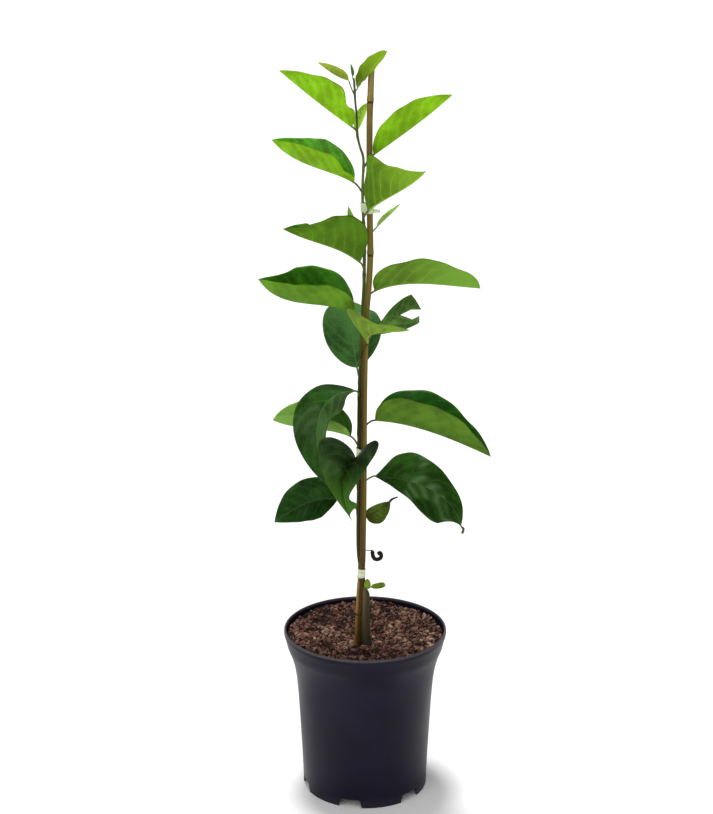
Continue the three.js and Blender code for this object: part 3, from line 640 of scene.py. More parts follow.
@dataclass(frozen=True)
class SoilFinish:
    """Damp bark compost in red-browns with a few straw-coloured bits, and a near-black bed that is painted
    shade in the gaps.
    """

    tones: Stops = (
        (0.0, (0.004, 0.002, 0.001)), (0.25, (0.033, 0.013, 0.01)), (0.5, (0.12, 0.054, 0.038)),
        (0.75, (0.2, 0.1, 0.074)), (0.92, (0.25, 0.15, 0.11)), (1.0, (0.42, 0.31, 0.2)),
    )
    gloss: float = 0.15

    def material(self, name: str, tone: str | None) -> bpy.types.Material:
        """Return soil in one tone for each crumb, or with tones in patches.

        Args:
            name: The material's name.
            tone: Attribute that holds each crumb's tone, or None for the bed's dark patches, painted shade in
                the gaps.

        Returns:
            The material.
        """
        material, graph, shader, _ = new_material(name)
        place = graph.place()
        fine = graph.noise(place, 900.0, 3.0, 0.65)
        if tone:
            share = graph.plus(graph.attribute(tone), graph.spread(fine, -0.14, 0.14))
        else:
            # Painted shade: the bed takes only the darkest quarter of the tones, to darken the gaps between
            # crumbs.
            share = graph.span(graph.noise(place, 330.0, 3.0), 0.35, 0.75, 0.0, 0.26)
        look = {
            "Base Color": graph.ramp(share, self.tones),
            "Roughness": graph.spread(fine, 0.72, 0.98),
            "Specular IOR Level": self.gloss,
            "Normal": graph.bump(fine, 0.5, 0.8),
        }
        graph.feed(shader, look)
        return material


@dataclass
class PottingSoil:
    """Soil that fills the pot, dished towards the trunk and covered with loose crumbs."""

    finish: SoilFinish
    pot: NurseryPot
    edge_rise: float = 6.0
    back_rise: float = 1.7
    back: Pair = (45.0, 92.0)
    sunk: float = 2.2
    lumps: tuple[Triple, ...] = ((17.0, 2.8, 3.0), (6.0, 2.0, 9.0))
    play: float = 0.4
    foot_corner: Pair = (6.0, 3.4)
    foot_from: float = 45.0
    edge_gap: float = 0.6
    sides: int = 128
    wall_rows: int = 24
    surface_rows: int = 44
    clear_of_trunk: float = 8.5
    crumb_count: int = 3900
    crumb_size: Triple = (0.95, 2.2, 2.2)
    crumb_spans: tuple[Pair, Pair, Pair] = ((0.9, 1.6), (0.7, 1.1), (0.5, 0.85))
    crumb_dents: Pair = (-0.34, 0.3)
    crumb_heights: Pair = (-1.4, 1.6)
    crumb_tilt: float = 0.5
    crumb_tone: Pair = (0.5, 0.17)
    patch_tone: float = 0.55
    palest_crumb: float = 0.93
    fibre_count: int = 34
    fibre_length: Pair = (3.0, 6.5)
    fibre_section: Pair = (0.55, 0.45)
    fibre_tones: Pair = (0.94, 1.0)
    seed: int = 5

    def surface(self, x: float, y: float) -> float:
        """Return the bed's height at a place.

        Args:
            x: The place from left to right.
            y: The place from front to back.

        Returns:
            The height, with lumps of each size that lumps names by spread, height and layer of noise.
        """
        share = math.hypot(x, y) / self.pot.lip_radius
        rises = (noise.noise(Vector((x, y, layer)) / spread) * high for spread, high, layer in self.lumps)
        dish = self.edge_rise * share**2 + self.back_rise * smoothstep(*self.back, y)
        return SOIL_LEVEL - self.sunk + dish + sum(rises)

    def bed(self) -> bmesh.types.BMesh:
        """Make the body of soil, closed all round.

        Returns:
            The bed's mesh.
        """
        line, wall, turns = self.pot.wall_line(), self.pot.wall, even_turns(self.sides)
        outer = [line.at(i / self.wall_rows) for i in range(self.wall_rows + 1)]
        floor = self.pot.floor_height + self.pot.floor_thickness + self.play
        near, far = self.foot_corner
        outline = [(0.0, floor), (self.pot.pad_radius + near, floor), (outer[0].x - wall - far, floor)]
        outline += [(p.x - wall - self.play, p.z) for p in outer if self.foot_from < p.z < SOIL_LEVEL - 5]
        rings = [[Vector((r * math.cos(a), r * math.sin(a), z)) for a in turns] for r, z in outline]
        edge = self.pot.outside[-1][0] - wall - self.edge_gap
        for i in range(self.surface_rows, -1, -1):
            reach = edge * (i / self.surface_rows) ** 0.8
            spots = [(reach * math.cos(a), reach * math.sin(a)) for a in turns]
            rings.append([Vector((x, y, self.surface(x, y))) for x, y in spots])
        return skin(rings)

    def crumb_shape(self, rng: random.Random) -> Matrix:
        """Return the turn and stretch of one crumb.

        Args:
            rng: The source of the scatter.

        Returns:
            A matrix for a ball of radius 1.
        """
        least, more, power = self.crumb_size
        size = least + more * rng.random() ** power
        stretch = Matrix.Diagonal((*(size * rng.uniform(*span) for span in self.crumb_spans), 1.0))
        turn = Euler((rng.gauss(0, self.crumb_tilt), rng.gauss(0, self.crumb_tilt), rng.uniform(0, 6.28)))
        return turn.to_matrix().to_4x4() @ stretch

    def crumbs(self) -> bmesh.types.BMesh:
        """Scatter all loose crumbs and fibres, each with its own tone.

        Returns:
            One mesh of them all.
        """
        rng = random.Random(self.seed)
        ball = bmesh.new()
        bmesh.ops.create_icosphere(ball, subdivisions=1, radius=1.0)
        data = bpy.data.meshes.new("crumb")
        ball.to_mesh(data)
        corners = len(ball.verts)
        ball.free()
        mesh = bmesh.new()
        total = self.crumb_count + self.fibre_count
        for _ in range(total):
            mesh.from_mesh(data)
        mesh.verts.ensure_lookup_table()
        tone = mesh.verts.layers.float.new("tone")
        limit = self.pot.outside[-1][0] - self.pot.wall - 2.4
        for i in range(total):
            fibre = i >= self.crumb_count
            while True:
                reach, turn = limit * math.sqrt(rng.random()), rng.uniform(0, 2 * math.pi)
                x, y = reach * math.cos(turn), reach * math.sin(turn)
                if math.hypot(x - TRUNK_CENTRE[0], y - TRUNK_CENTRE[1]) > self.clear_of_trunk:
                    break
            shape = self.crumb_shape(rng)
            if fibre:
                length = rng.uniform(*self.fibre_length) * min(1.0, (limit - reach) / 8.0 + 0.3)
                stretch = Matrix.Diagonal((length, *self.fibre_section, 1.0))
                shape = Matrix.Rotation(rng.uniform(0, 3.14), 4, "Z") @ stretch
            patch = noise.noise(Vector((x, y, 40.0)) / 15.0) + 0.5 * noise.noise(Vector((x, y, 70.0)) / 5.0)
            height = self.surface(x, y) + rng.uniform(*self.crumb_heights) + patch + float(fibre)
            if fibre:
                shade = rng.uniform(*self.fibre_tones)
            else:
                shade = rng.gauss(*self.crumb_tone) + self.patch_tone * patch
                shade = min(self.palest_crumb, max(0.0, shade))
            for vert in mesh.verts[i * corners : (i + 1) * corners]:
                rough = 1.0 + rng.uniform(*self.crumb_dents)
                vert.co = shape @ (vert.co * rough) + Vector((x, y, height))
                vert[tone] = shade
        bpy.data.meshes.remove(data)
        return mesh

    def build(self) -> None:
        """Make the bed of soil and its crumbs."""
        bed = make_piece("soil_bed", self.bed(), self.finish.material("soil_packed_shaded", None))
        enlist(bed, "soil", "soil")
        crumbs = make_piece("soil_crumbs", self.crumbs(), self.finish.material("soil_loose", "tone"))
        for face in crumbs.data.polygons:
            face.use_smooth = False
        enlist(crumbs, "soil")


# Wood


def wood_grain() -> bpy.types.NodeTree:
    """Make the shared group for lengthwise streaks, fine ribs and pale breathing pores.

    Returns:
        The group.
    """
    outputs = ("Streaks", "Pores", "Relief")
    graph, given, wanted = new_group("wood_grain", ("Place", "Streak", "Pore"), outputs)
    fine = graph.add("ShaderNodeCombineXYZ", {0: given["Streak"], 1: given["Streak"], 2: 14.0}).outputs[0]
    lie = graph.add("ShaderNodeVectorMath", {0: given["Place"], 1: fine}, operation="MULTIPLY").outputs[0]
    streaks = graph.spread(graph.noise(lie, 1.0, 4.0, 0.6))
    dots = graph.cells(graph.stretched(given["Place"], (1.0, 1.0, 0.6)), given["Pore"])
    pores = graph.span(dots, 0.26, 0.12)
    relief = graph.plus(streaks, graph.times(pores, 0.6))
    graph.feed(wanted, {"Streaks": streaks, "Pores": pores, "Relief": relief})
    return graph.tree


@dataclass(frozen=True)
class ShadedFlank:
    """A darker or paler side of a stem, between two heights in millimetres; each one here is painted shade on
    the side that gets less light.

    Side tells where the tint starts and where it is full, from 0 on the left to 1 on the right. It fades over
    a length on each side of the low and of the high level.
    """

    tint: Colour
    share: float
    side: Pair
    heights: Pair
    fade_low: float = 12.0
    fade_high: float = 40.0


def flank_layer(rings: Rings) -> dict[str, np.ndarray]:
    """Return the attribute that runs from 0 on the left of a rod to 1 on its right.

    Args:
        rings: The rod's rings.

    Returns:
        The layer, ready for the skin.
    """
    across = np.array([[p.x for p in ring] for ring in rings])
    low, high = across.min(axis=1, keepdims=True), across.max(axis=1, keepdims=True)
    return {"flank": (across - low) / np.maximum(high - low, 1e-6)}


@dataclass(frozen=True)
class WoodFinish:
    """Bark or cane skin whose colour changes from low to high, with streaks, pores and relief.

    Rings are the heights of dark rings round it, which show from near to far round each height. Shaded flanks
    paint shade down one side.
    """

    name: str
    low: float
    high: float
    stops: Stops
    streak: float
    streak_colour: Colour
    streak_share: float
    pore: float
    pore_colour: Colour
    pore_share: float
    roughness: float
    relief: float
    rings: tuple[float, ...] = ()
    ring_colour: Colour = (0.02, 0.012, 0.006)
    ring_share: float = 0.85
    ring_reach: Pair = (2.2, 0.7)
    shaded_flanks: tuple[ShadedFlank, ...] = ()
    wear: float = 0.07
    gloss: float = 0.08

    def material(self, grain: bpy.types.NodeTree) -> bpy.types.Material:
        """Return the material.

        Args:
            grain: The shared group that draws streaks and pores.

        Returns:
            The material.
        """
        material, graph, shader, _ = new_material(self.name)
        place = graph.place()
        height = graph.split(place)[2]
        marks = graph.group(grain, {"Place": place, "Streak": self.streak, "Pore": self.pore})
        patch = graph.noise(place, 60.0)
        ends = {0: height, 1: self.low * METRES, 2: self.high * METRES}
        rise = graph.add("ShaderNodeMapRange", ends).outputs[0]
        colour = graph.ramp(graph.plus(rise, graph.spread(patch, -0.025, 0.025)), self.stops)
        colour = graph.tint(colour, self.streak_colour, marks["Streaks"], self.streak_share)
        colour = graph.tint(colour, self.pore_colour, marks["Pores"], self.pore_share)
        far, near = (reach * METRES for reach in self.ring_reach)
        for ring in self.rings:
            away = graph.math("ABSOLUTE", graph.minus(height, ring * METRES))
            colour = graph.tint(colour, self.ring_colour, graph.span(away, far, near), self.ring_share)
        # Painted shade: each shaded flank darkens one side of the stem between two heights.
        for flank in self.shaded_flanks:
            low, high = (level * METRES for level in flank.heights)
            start, end = flank.fade_low * METRES, flank.fade_high * METRES
            foot = graph.span(height, low - start, low + start)
            head = graph.span(height, high + end, high - end)
            turned = graph.span(graph.attribute("flank"), *flank.side)
            colour = graph.tint(colour, flank.tint, graph.times(turned, graph.times(foot, head)), flank.share)
        look = {
            "Base Color": colour,
            "Roughness": graph.spread(patch, self.roughness - self.wear, self.roughness + self.wear),
            "Specular IOR Level": self.gloss,
            "Normal": graph.bump(marks["Relief"], self.relief, 0.9),
        }
        graph.feed(shader, look)
        return material


def wooden(name: str, rings: Rings, finish: WoodFinish, grain: bpy.types.NodeTree) -> bpy.types.Object:
    """Make a piece with a wooden skin.

    Args:
        name: The object's name.
        rings: The rings that it is wrapped round.
        finish: Its finish.
        grain: The shared group that draws streaks and pores.

    Returns:
        The object.
    """
    return make_piece(name, skin(rings, flank_layer(rings)), finish.material(grain))


CUT_HEIGHT = 270.0
CUT_SLOPE = 1.5


def cut_height(x: float) -> float:
    """Return the height of the slanted graft cut at a place across the trunk."""
    return CUT_HEIGHT - CUT_SLOPE * x


@dataclass
class Rootstock:
    """Thick trunk of the old root, cut on a slant where the scion was set."""

    finish: WoodFinish
    radius: float = 6.2
    foot_flare: float = 1.1
    flare_reach: float = 14.0
    lumps: tuple[Triple, ...] = ((1.2, 13.0, 0.45), (3.5, 40.0, 0.22))
    sunk: float = 0.15
    foot: float = 138.0
    below_cut: float = 0.6
    steps: int = 60
    sides: int = 48

    def radius_at(self, height: float, turn: float) -> float:
        """Return the trunk's radius, with its lumps and seams.

        Args:
            height: The height.
            turn: The angle round the trunk.

        Returns:
            The radius, with lumps of each kind that lumps names by number round, length and height.
        """
        flare = self.foot_flare * math.exp(-max(height - SOIL_LEVEL, 0.0) / self.flare_reach)
        lumps = (round_noise(turn, around, height / along) * high for around, along, high in self.lumps)
        return self.radius + flare + sum(lumps) - self.sunk

    def build(self, grain: bpy.types.NodeTree) -> None:
        """Make the trunk.

        Args:
            grain: The shared group of the wood's grain.
        """
        middle, front = TRUNK_CENTRE
        rings = []
        for step in range(self.steps + 1):
            ring = []
            for turn in even_turns(self.sides):
                across = self.radius * math.cos(turn)
                top = cut_height(middle + across) - self.below_cut
                height = self.foot + (top - self.foot) * step / self.steps
                reach = self.radius_at(height, turn)
                ring.append(Vector((middle + reach * math.cos(turn), front + reach * math.sin(turn), height)))
            rings.append(ring)
        close_end(rings, (0.93, (0, 0, 0.45)), (0.6, (0, 0, 0)), (0.5, (0, 0, 0)))
        trunk = wooden("rootstock_trunk", rings, self.finish, grain)
        enlist(trunk, "bark", "rootstock")


@dataclass
class ScionStem:
    """Grafted stem, brown below and green above, with a slight joint under every leaf."""

    finish: WoodFinish
    joints: tuple[float, ...]
    foot_radius: float = 4.0
    low_radius: float = 3.1
    tip_radius: float = 1.1
    joint_swell: float = 0.16
    joint_drop: float = 1.5
    joint_spread: float = 3.2
    unevenness: float = 0.09
    steps: int = 300
    sides: int = 24
    flare_top: float = 300.0
    flare_length: float = 30.0
    top: float = 884.0
    line: CentreLine = CentreLine(
        [
            (-3.2, -20.5, 268), (-4.4, -21.4, 290), (-7.4, -22, 318), (-7.6, -22, 385), (-7.2, -22, 446),
            (-7, -22, 508), (-5, -22, 570), (-3.6, -22, 605), (-2.1, -22, 641), (-1.6, -22, 670),
            (-1.6, -22, 705), (-3, -22, 729), (-3.6, -22, 747), (-3.6, -22, 765), (-3, -22, 795),
            (-6.6, -22, 807), (-9.6, -22, 820), (-10.4, -22, 842), (-12.1, -22, 860), (-12.7, -22, 872),
            (-13.6, -21.8, 884),
        ]
    )

    def radius(self, height: float) -> float:
        """Return the plain stem's radius.

        Args:
            height: The height.

        Returns:
            The radius, flared towards the graft.
        """
        along = min(max((height - self.flare_top) / (self.top - self.flare_top), 0.0), 1.0)
        stem = self.low_radius + (self.tip_radius - self.low_radius) * along**1.3
        flare = min(max((self.flare_top - height) / self.flare_length, 0.0), 1.0)
        return stem + (self.foot_radius - stem) * flare

    def shaped_radius(self, centre: Vector, turn: float) -> float:
        """Return the radius with the joints and the stem's slight unevenness.

        Args:
            centre: The point of the stem's line.
            turn: The angle round it.

        Returns:
            The radius.
        """
        joint = sum(bell(centre.z, z - self.joint_drop, self.joint_spread) for z in self.joints)
        uneven = round_noise(turn, 1.0, centre.z / 16) * self.unevenness
        return self.radius(centre.z) * (0.99 + uneven + min(joint, 1.0) * self.joint_swell)

    def build(self, grain: bpy.types.NodeTree) -> None:
        """Make the stem, which stands on the trunk's cut.

        Args:
            grain: The shared group of the wood's grain.
        """
        rings = rod(self.line, self.steps, self.shaped_radius, self.sides)
        for point in (point for ring in rings for point in ring):
            point.z = max(point.z, cut_height(point.x) - 0.2)
        close_end(rings, (0.6, (-0.1, 0, 0.4)), (0.3, (-0.05, 0, 0.2)))
        stem = wooden("scion_wood", rings, self.finish, grain)
        enlist(stem, "scion", "scion_stem")


@dataclass
class BambooCane:
    """Thin cane with swollen nodes, pushed into the soil in front of the stem."""

    finish: WoodFinish
    plain_radius: float = 3.6
    nodes: tuple[float, ...] = (241.0, 686.0, 861.0)
    swell: float = 0.5
    swell_spread: float = 4.0
    scar: float = 0.35
    scar_drop: float = 2.2
    scar_spread: float = 0.9
    hollow: float = 2.5
    steps: int = 520
    sides: int = 28
    sharp_angle: float = 60.0
    line: CentreLine = CentreLine(
        [
            (x, -30.2, z)
            for x, z in (
                (-10.6, 84), (-9.6, 197), (-8.2, 241), (-6.4, 276), (-3.6, 302), (-2.8, 334), (-2.1, 385),
                (-1.8, 448), (-1.6, 510), (-0.6, 571), (0.6, 613), (3.4, 645), (5.3, 686), (4.7, 722),
                (4.1, 805), (4.2, 840), (4.9, 861), (6.3, 900),
            )
        ]
    )

    def radius(self, height: float) -> float:
        """Return the cane's radius at a height."""
        return self.plain_radius + self.swell * max(bell(height, z, self.swell_spread) for z in self.nodes)

    def shaped_radius(self, centre: Vector, turn: float) -> float:
        """Return the radius with the sheath scar below each swollen ring.

        Args:
            centre: The point of the cane's line.
            turn: The angle round it, which makes no difference.

        Returns:
            The radius.
        """
        scar = sum(bell(centre.z, z - self.scar_drop, self.scar_spread) for z in self.nodes)
        return self.radius(centre.z) - 0.05 - self.scar * min(scar, 1.0)

    def build(self, grain: bpy.types.NodeTree) -> None:
        """Make the cane, with a sawn and slightly hollow top.

        Args:
            grain: The shared group of the wood's grain.
        """
        rings = rod(self.line, self.steps, self.shaped_radius, self.sides)
        close_end(rings, (0.94, (0, 0, 0)), (0.5, (0, 0, 0)), (0.9, (0, 0, -self.hollow)))
        cane = wooden("cane_culm", rings, self.finish, grain)
        cane.data.set_sharp_from_angle(angle=math.radians(self.sharp_angle))
        enlist(cane, "bamboo", "bamboo_cane")


# Ties


@dataclass(frozen=True)
class TapeFinish:
    """Pale stretchy grafting tape that lets some light through."""

    film: Colour = (0.84, 0.92, 0.64)
    stained: Colour = (0.58, 0.68, 0.4)
    through: float = 0.35

    def material(self) -> bpy.types.Material:
        """Make the tape's material.

        Returns:
            The material.
        """
        material, graph, shader, output = new_material("tie_tape")
        place = graph.place()
        smear = graph.noise(graph.stretched(place, (90.0, 90.0, 420.0)), 1.0, 3.0)
        colour = graph.blend(graph.span(smear, 0.4, 0.72, 0.0, 0.7), self.film, self.stained)
        rough, relief = graph.spread(smear, 0.32, 0.5), graph.bump(smear, 0.35, 0.7)
        graph.feed(shader, {"Base Color": colour, "Roughness": rough, "Normal": relief})
        let_through(graph, shader, output, colour, self.through)
        return material


@dataclass
class TieTape:
    """Turn of tape round cane and stem."""

    film: bpy.types.Material
    cane: BambooCane
    stem: ScionStem
    width: float = 11.0
    thickness: float = 0.5
    gap: float = 0.3
    edge_curl: float = 0.25
    fold: float = 0.22
    tilt: float = 0.5
    play: float = 0.1
    tail_length: float = 8.0
    tail_width: float = 4.0
    tail_drop: float = 3.0
    tail_rise: float = 6.0
    tail_taper: float = 0.25
    tail_sway: Pair = (0.4, 5.0)
    tail_twist: Pair = (0.2, 7.0)
    rows: int = 12
    sides: int = 96

    def loop(self, height: float, distance: float) -> list[Vector]:
        """Return a loop round cane and stem.

        Args:
            height: Where the loop lies.
            distance: How far outside both it runs.

        Returns:
            The loop's points.
        """
        held = [
            (self.cane.line.at_height(height), self.cane.radius(height)),
            (self.stem.line.at_height(height), self.stem.radius(height)),
        ]
        points = []
        for angle in even_turns(self.sides):
            outward = Vector((math.cos(angle), math.sin(angle), 0.0))
            centre, radius = max(held, key=lambda pair: pair[0].dot(outward) + pair[1])
            points.append(centre + outward * (radius + distance))
        return points

    def band(self, middle: float) -> bmesh.types.BMesh:
        """Return the wrinkled band as one closed wall.

        Args:
            middle: The height of its middle.

        Returns:
            The band.
        """
        outer, inner = [], []
        for i in range(self.rows + 1):
            height = middle + self.width * (i / self.rows - 0.5)
            curl = self.edge_curl * abs(2 * i / self.rows - 1) ** 3
            for wall, distance in ((outer, self.gap + self.thickness), (inner, self.gap)):
                wall.append([self.crease(p, middle, curl) for p in self.loop(height, distance)])
        section = outer + inner[::-1]
        rings = [[row[j] for row in section] for j in range(self.sides)]
        return skin(rings + [rings[0]])

    def crease(self, point: Vector, middle: float, curl: float) -> Vector:
        """Return a point of the band moved by its wrinkles.

        Args:
            point: The point.
            middle: The height of the band's middle.
            curl: How far the band's edge stands out there.

        Returns:
            The moved point.
        """
        cane, stem = self.cane.line.at_height(middle), self.stem.line.at_height(middle)
        turn = math.atan2(point.y - stem.y, point.x)
        fold = round_noise(turn, 2.2, point.z / 2.4)
        lift = round_noise(turn, 1.6, middle)
        centre = (cane + stem) / 2
        outward = Vector((point.x - centre.x, point.y - centre.y, 0.0)).normalized()
        return point + outward * (self.fold * fold + curl + self.play) + UP * (self.tilt * lift)

    def tail(self, middle: float) -> bmesh.types.BMesh:
        """Return the loose end, a strip that waves a little and narrows to its end.

        Args:
            middle: The height of the band's middle.

        Returns:
            The strip.
        """
        side = self.cane.line.at_height(middle)
        start = side + Vector((self.cane.radius(middle) + 0.2, 0.0, -self.tail_drop))
        mesh = bmesh.new()
        bmesh.ops.create_grid(mesh, x_segments=26, y_segments=8, size=1.0)
        for vert in mesh.verts:
            along, over = (vert.co.x + 1) / 2, vert.co.y
            half = self.tail_width / 2 * (1 - self.tail_taper * along**2)
            waves = (self.tail_sway, self.tail_twist)
            sway, twist = (high * math.sin(turns * along) for high, turns in waves)
            rise = 0.3 * math.radians(self.tail_rise) * self.tail_length * along
            aside = sway * along + twist * over
            vert.co = start + Vector((self.tail_length * along, aside, half * over + rise))
        bmesh.ops.solidify(mesh, geom=mesh.faces[:], thickness=self.thickness)
        bmesh.ops.recalc_face_normals(mesh, faces=mesh.faces)
        return mesh

    def build(self, node: str, middle: float, tailed: bool = False) -> None:
        """Make one tie.

        Args:
            node: The node that it stands for.
            middle: The height of its middle.
            tailed: Whether a loose end stands out of it.
        """
        tie = make_piece("tape_" + node.removeprefix("tie_"), self.band(middle), self.film)
        enlist(tie, "tape", node)
        if tailed:
            tail = make_piece("tape_tail", self.tail(middle), self.film)
            enlist(tail, "tape")


# Leaves

VEIN_PAIRS = 7.0
VEIN_ARCH = (0.13, 0.17)
VEIN_STAGGER = 0.45
VEIN_WIDTHS = (0.075, 0.025)
MIDRIB_EDGE = (1.15, 0.35)


def venation() -> bpy.types.NodeTree:
    """Make the shared group that draws a leaf's veins.

    Along runs from 0 at the foot to 1 at the tip, Side from -1 to 1 across the blade, and Reach is the
    distance from the midrib in millimetres.

    Returns:
        The group.
    """
    outputs = ("Midrib", "Veins", "Net", "Puff")
    graph, given, wanted = new_group("leaf_venation", ("Place", "Along", "Side", "Reach"), outputs)
    side = graph.math("ABSOLUTE", given["Side"])
    powers = (side, graph.times(side, side))
    slant, bow = (graph.times(power, share) for power, share in zip(powers, VEIN_ARCH))
    start = graph.minus(given["Along"], graph.plus(slant, bow))
    shift = graph.times(graph.math("LESS_THAN", given["Side"], 0.0), VEIN_STAGGER)
    wobble = graph.times(graph.minus(graph.noise(given["Place"], 55.0, 1.0), 0.5), 0.5)
    phase = graph.plus(graph.plus(graph.times(start, VEIN_PAIRS), shift), wobble)
    away = graph.math("PINGPONG", phase, 0.5)
    width = graph.span(side, 0.0, 1.0, *VEIN_WIDTHS)
    line = graph.minus(1.0, graph.math("MINIMUM", graph.math("DIVIDE", away, width), 1.0))
    fade = graph.times(graph.span(side, 1.0, 0.82), graph.span(start, -0.02, 0.03))
    net = graph.span(graph.cells(given["Place"], 330.0, "DISTANCE_TO_EDGE"), 0.14, 0.02)
    marks = {
        "Midrib": graph.span(given["Reach"], *MIDRIB_EDGE),
        "Veins": graph.times(line, fade),
        "Net": net,
        "Puff": graph.times(away, 2.0),
    }
    graph.feed(wanted, marks)
    return graph.tree


@dataclass(frozen=True)
class BladeFinish:
    """Leaf with a glossy upper face, a paler matt underside, light veins and patchy colour.

    Fold is the upper colour of the left half, for how light falls on that half: painted shade where it is
    darker than the upper colour, painted light where it is paler. Gleam is the sky's pale light on the puffed
    parts.
    """

    upper: Colour
    under: Colour
    vein: Colour
    tip: Colour | None = None
    fold: Colour | None = None
    roughness: float = 0.34
    gloss: float = 0.14
    vein_share: float = 0.45
    edge: Colour = (0.2, 0.3, 0.03)
    edge_share: float = 0.3
    stalk_colour: Colour = (0.15, 0.19, 0.04)
    gleam: Colour = (0.22, 0.42, 0.12)
    gleam_share: float = 0.26
    band_share: float = 0.45
    upper_shades: Pair = (0.6, 1.5)
    under_shades: Pair = (0.78, 1.24)
    tip_reach: Pair = (0.3, 0.85)
    relief: float = 0.32
    through: float = 0.3

    @staticmethod
    def shaded(graph: Graph, light: Socket, colour: Colour, shades: Pair) -> Socket:
        """Return a colour in darker and lighter patches.

        Args:
            graph: The material's graph.
            light: Where it is light, from 0 to 1.
            colour: The colour.
            shades: What its darkest and its lightest shade are multiplied by.

        Returns:
            The patchy colour.
        """
        return graph.blend(light, *(tuple(part * shade for part in colour) for shade in shades))

    def material(self, name: str, veins: bpy.types.NodeTree) -> bpy.types.Material:
        """Return the material.

        Args:
            name: The material's name.
            veins: The shared group that draws the veins.

        Returns:
            The material.
        """
        material, graph, shader, output = new_material(name)
        place, under = graph.place(), graph.attribute("underside")
        along, side, _ = graph.split(graph.add("ShaderNodeUVMap", uv_map="blade").outputs[0])
        given = {"Place": place, "Along": along, "Side": side, "Reach": graph.attribute("reach")}
        lines = graph.group(veins, given)
        mottle = graph.noise(place, 420.0)
        patch = graph.span(graph.noise(place, 38.0, 3.0, 0.6), 0.34, 0.68, 0.0, 0.85)
        near = graph.math("POWER", graph.minus(1.0, lines["Puff"]), 1.5)
        band = graph.times(graph.minus(near, 0.4), self.band_share)
        light = graph.plus(graph.plus(patch, graph.spread(mottle, -0.1, 0.2)), band)
        above = self.shaded(graph, light, self.upper, self.upper_shades)
        # Painted shade and light: the left half's upper face takes the fold colour.
        if self.fold:
            painted_half_shading = self.shaded(graph, light, self.fold, self.upper_shades)
            above = graph.blend(graph.span(side, 0.05, -0.05), above, painted_half_shading)
        gleam = graph.times(graph.span(graph.noise(place, 24.0, 1.0), 0.5, 0.64), lines["Puff"])
        above = graph.tint(above, self.gleam, gleam, self.gleam_share)
        colour = graph.blend(under, above, self.shaded(graph, light, self.under, self.under_shades))
        if self.tip:
            colour = graph.blend(graph.span(along, *self.tip_reach), colour, self.tip)
        ribs = graph.math("MAXIMUM", lines["Midrib"], graph.times(lines["Veins"], 0.8))
        ribs = graph.math("MAXIMUM", ribs, graph.times(lines["Net"], 0.12))
        colour = graph.tint(colour, self.vein, ribs, self.vein_share)
        rim = graph.span(graph.math("ABSOLUTE", side), 0.95, 1.0)
        colour = graph.tint(colour, self.edge, rim, self.edge_share)
        colour = graph.blend(graph.span(along, 0.02, 0.0), colour, self.stalk_colour)
        rough = graph.spread(mottle, self.roughness - 0.05, self.roughness + 0.08)
        cords = graph.plus(lines["Veins"], graph.times(lines["Net"], 0.18))
        facing = graph.minus(graph.times(under, 2.0), 1.0)
        relief = graph.times(graph.plus(cords, graph.times(mottle, 0.35)), facing)
        look = {
            "Base Color": colour,
            "Roughness": graph.plus(rough, graph.times(under, 0.3)),
            "Specular IOR Level": self.gloss,
            "Normal": graph.bump(relief, self.relief, 0.8),
        }
        graph.feed(shader, look)
        let_through(graph, shader, output, colour, self.through)
        return material


class Tone(Enum):
    """How old a leaf is, which sets its finish."""

    YOUNG = "leaf_young"
    GREEN = "leaf_green"
    DARK = "leaf_dark"
    WITHERED = "leaf_withered"


TONES: dict[Tone, BladeFinish] = {
    Tone.YOUNG: BladeFinish(
        upper=(0.27, 0.56, 0.015),
        under=(0.27, 0.54, 0.02),
        vein=(0.45, 0.7, 0.12),
        roughness=0.4,
        vein_share=0.3,
        gloss=0.1,
    ),
    Tone.GREEN: BladeFinish(
        upper=(0.08, 0.26, 0.01),
        under=(0.17, 0.35, 0.02),
        vein=(0.36, 0.58, 0.13),
        gloss=0.1,
    ),
    Tone.DARK: BladeFinish(
        upper=(0.012, 0.05, 0.004),
        under=(0.09, 0.18, 0.022),
        vein=(0.1, 0.23, 0.05),
        roughness=0.3,
        gloss=0.09,
        gleam=(0.17, 0.32, 0.12),
    ),
    Tone.WITHERED: BladeFinish(
        upper=(0.085, 0.14, 0.012),
        under=(0.07, 0.11, 0.012),
        vein=(0.03, 0.02, 0.01),
        roughness=0.5,
        edge=(0.02, 0.012, 0.006),
        edge_share=0.9,
    ),
}
OWN_LOOKS = ("upper", "under", "tip", "fold", "gleam_share", "vein_share", "stalk_colour")


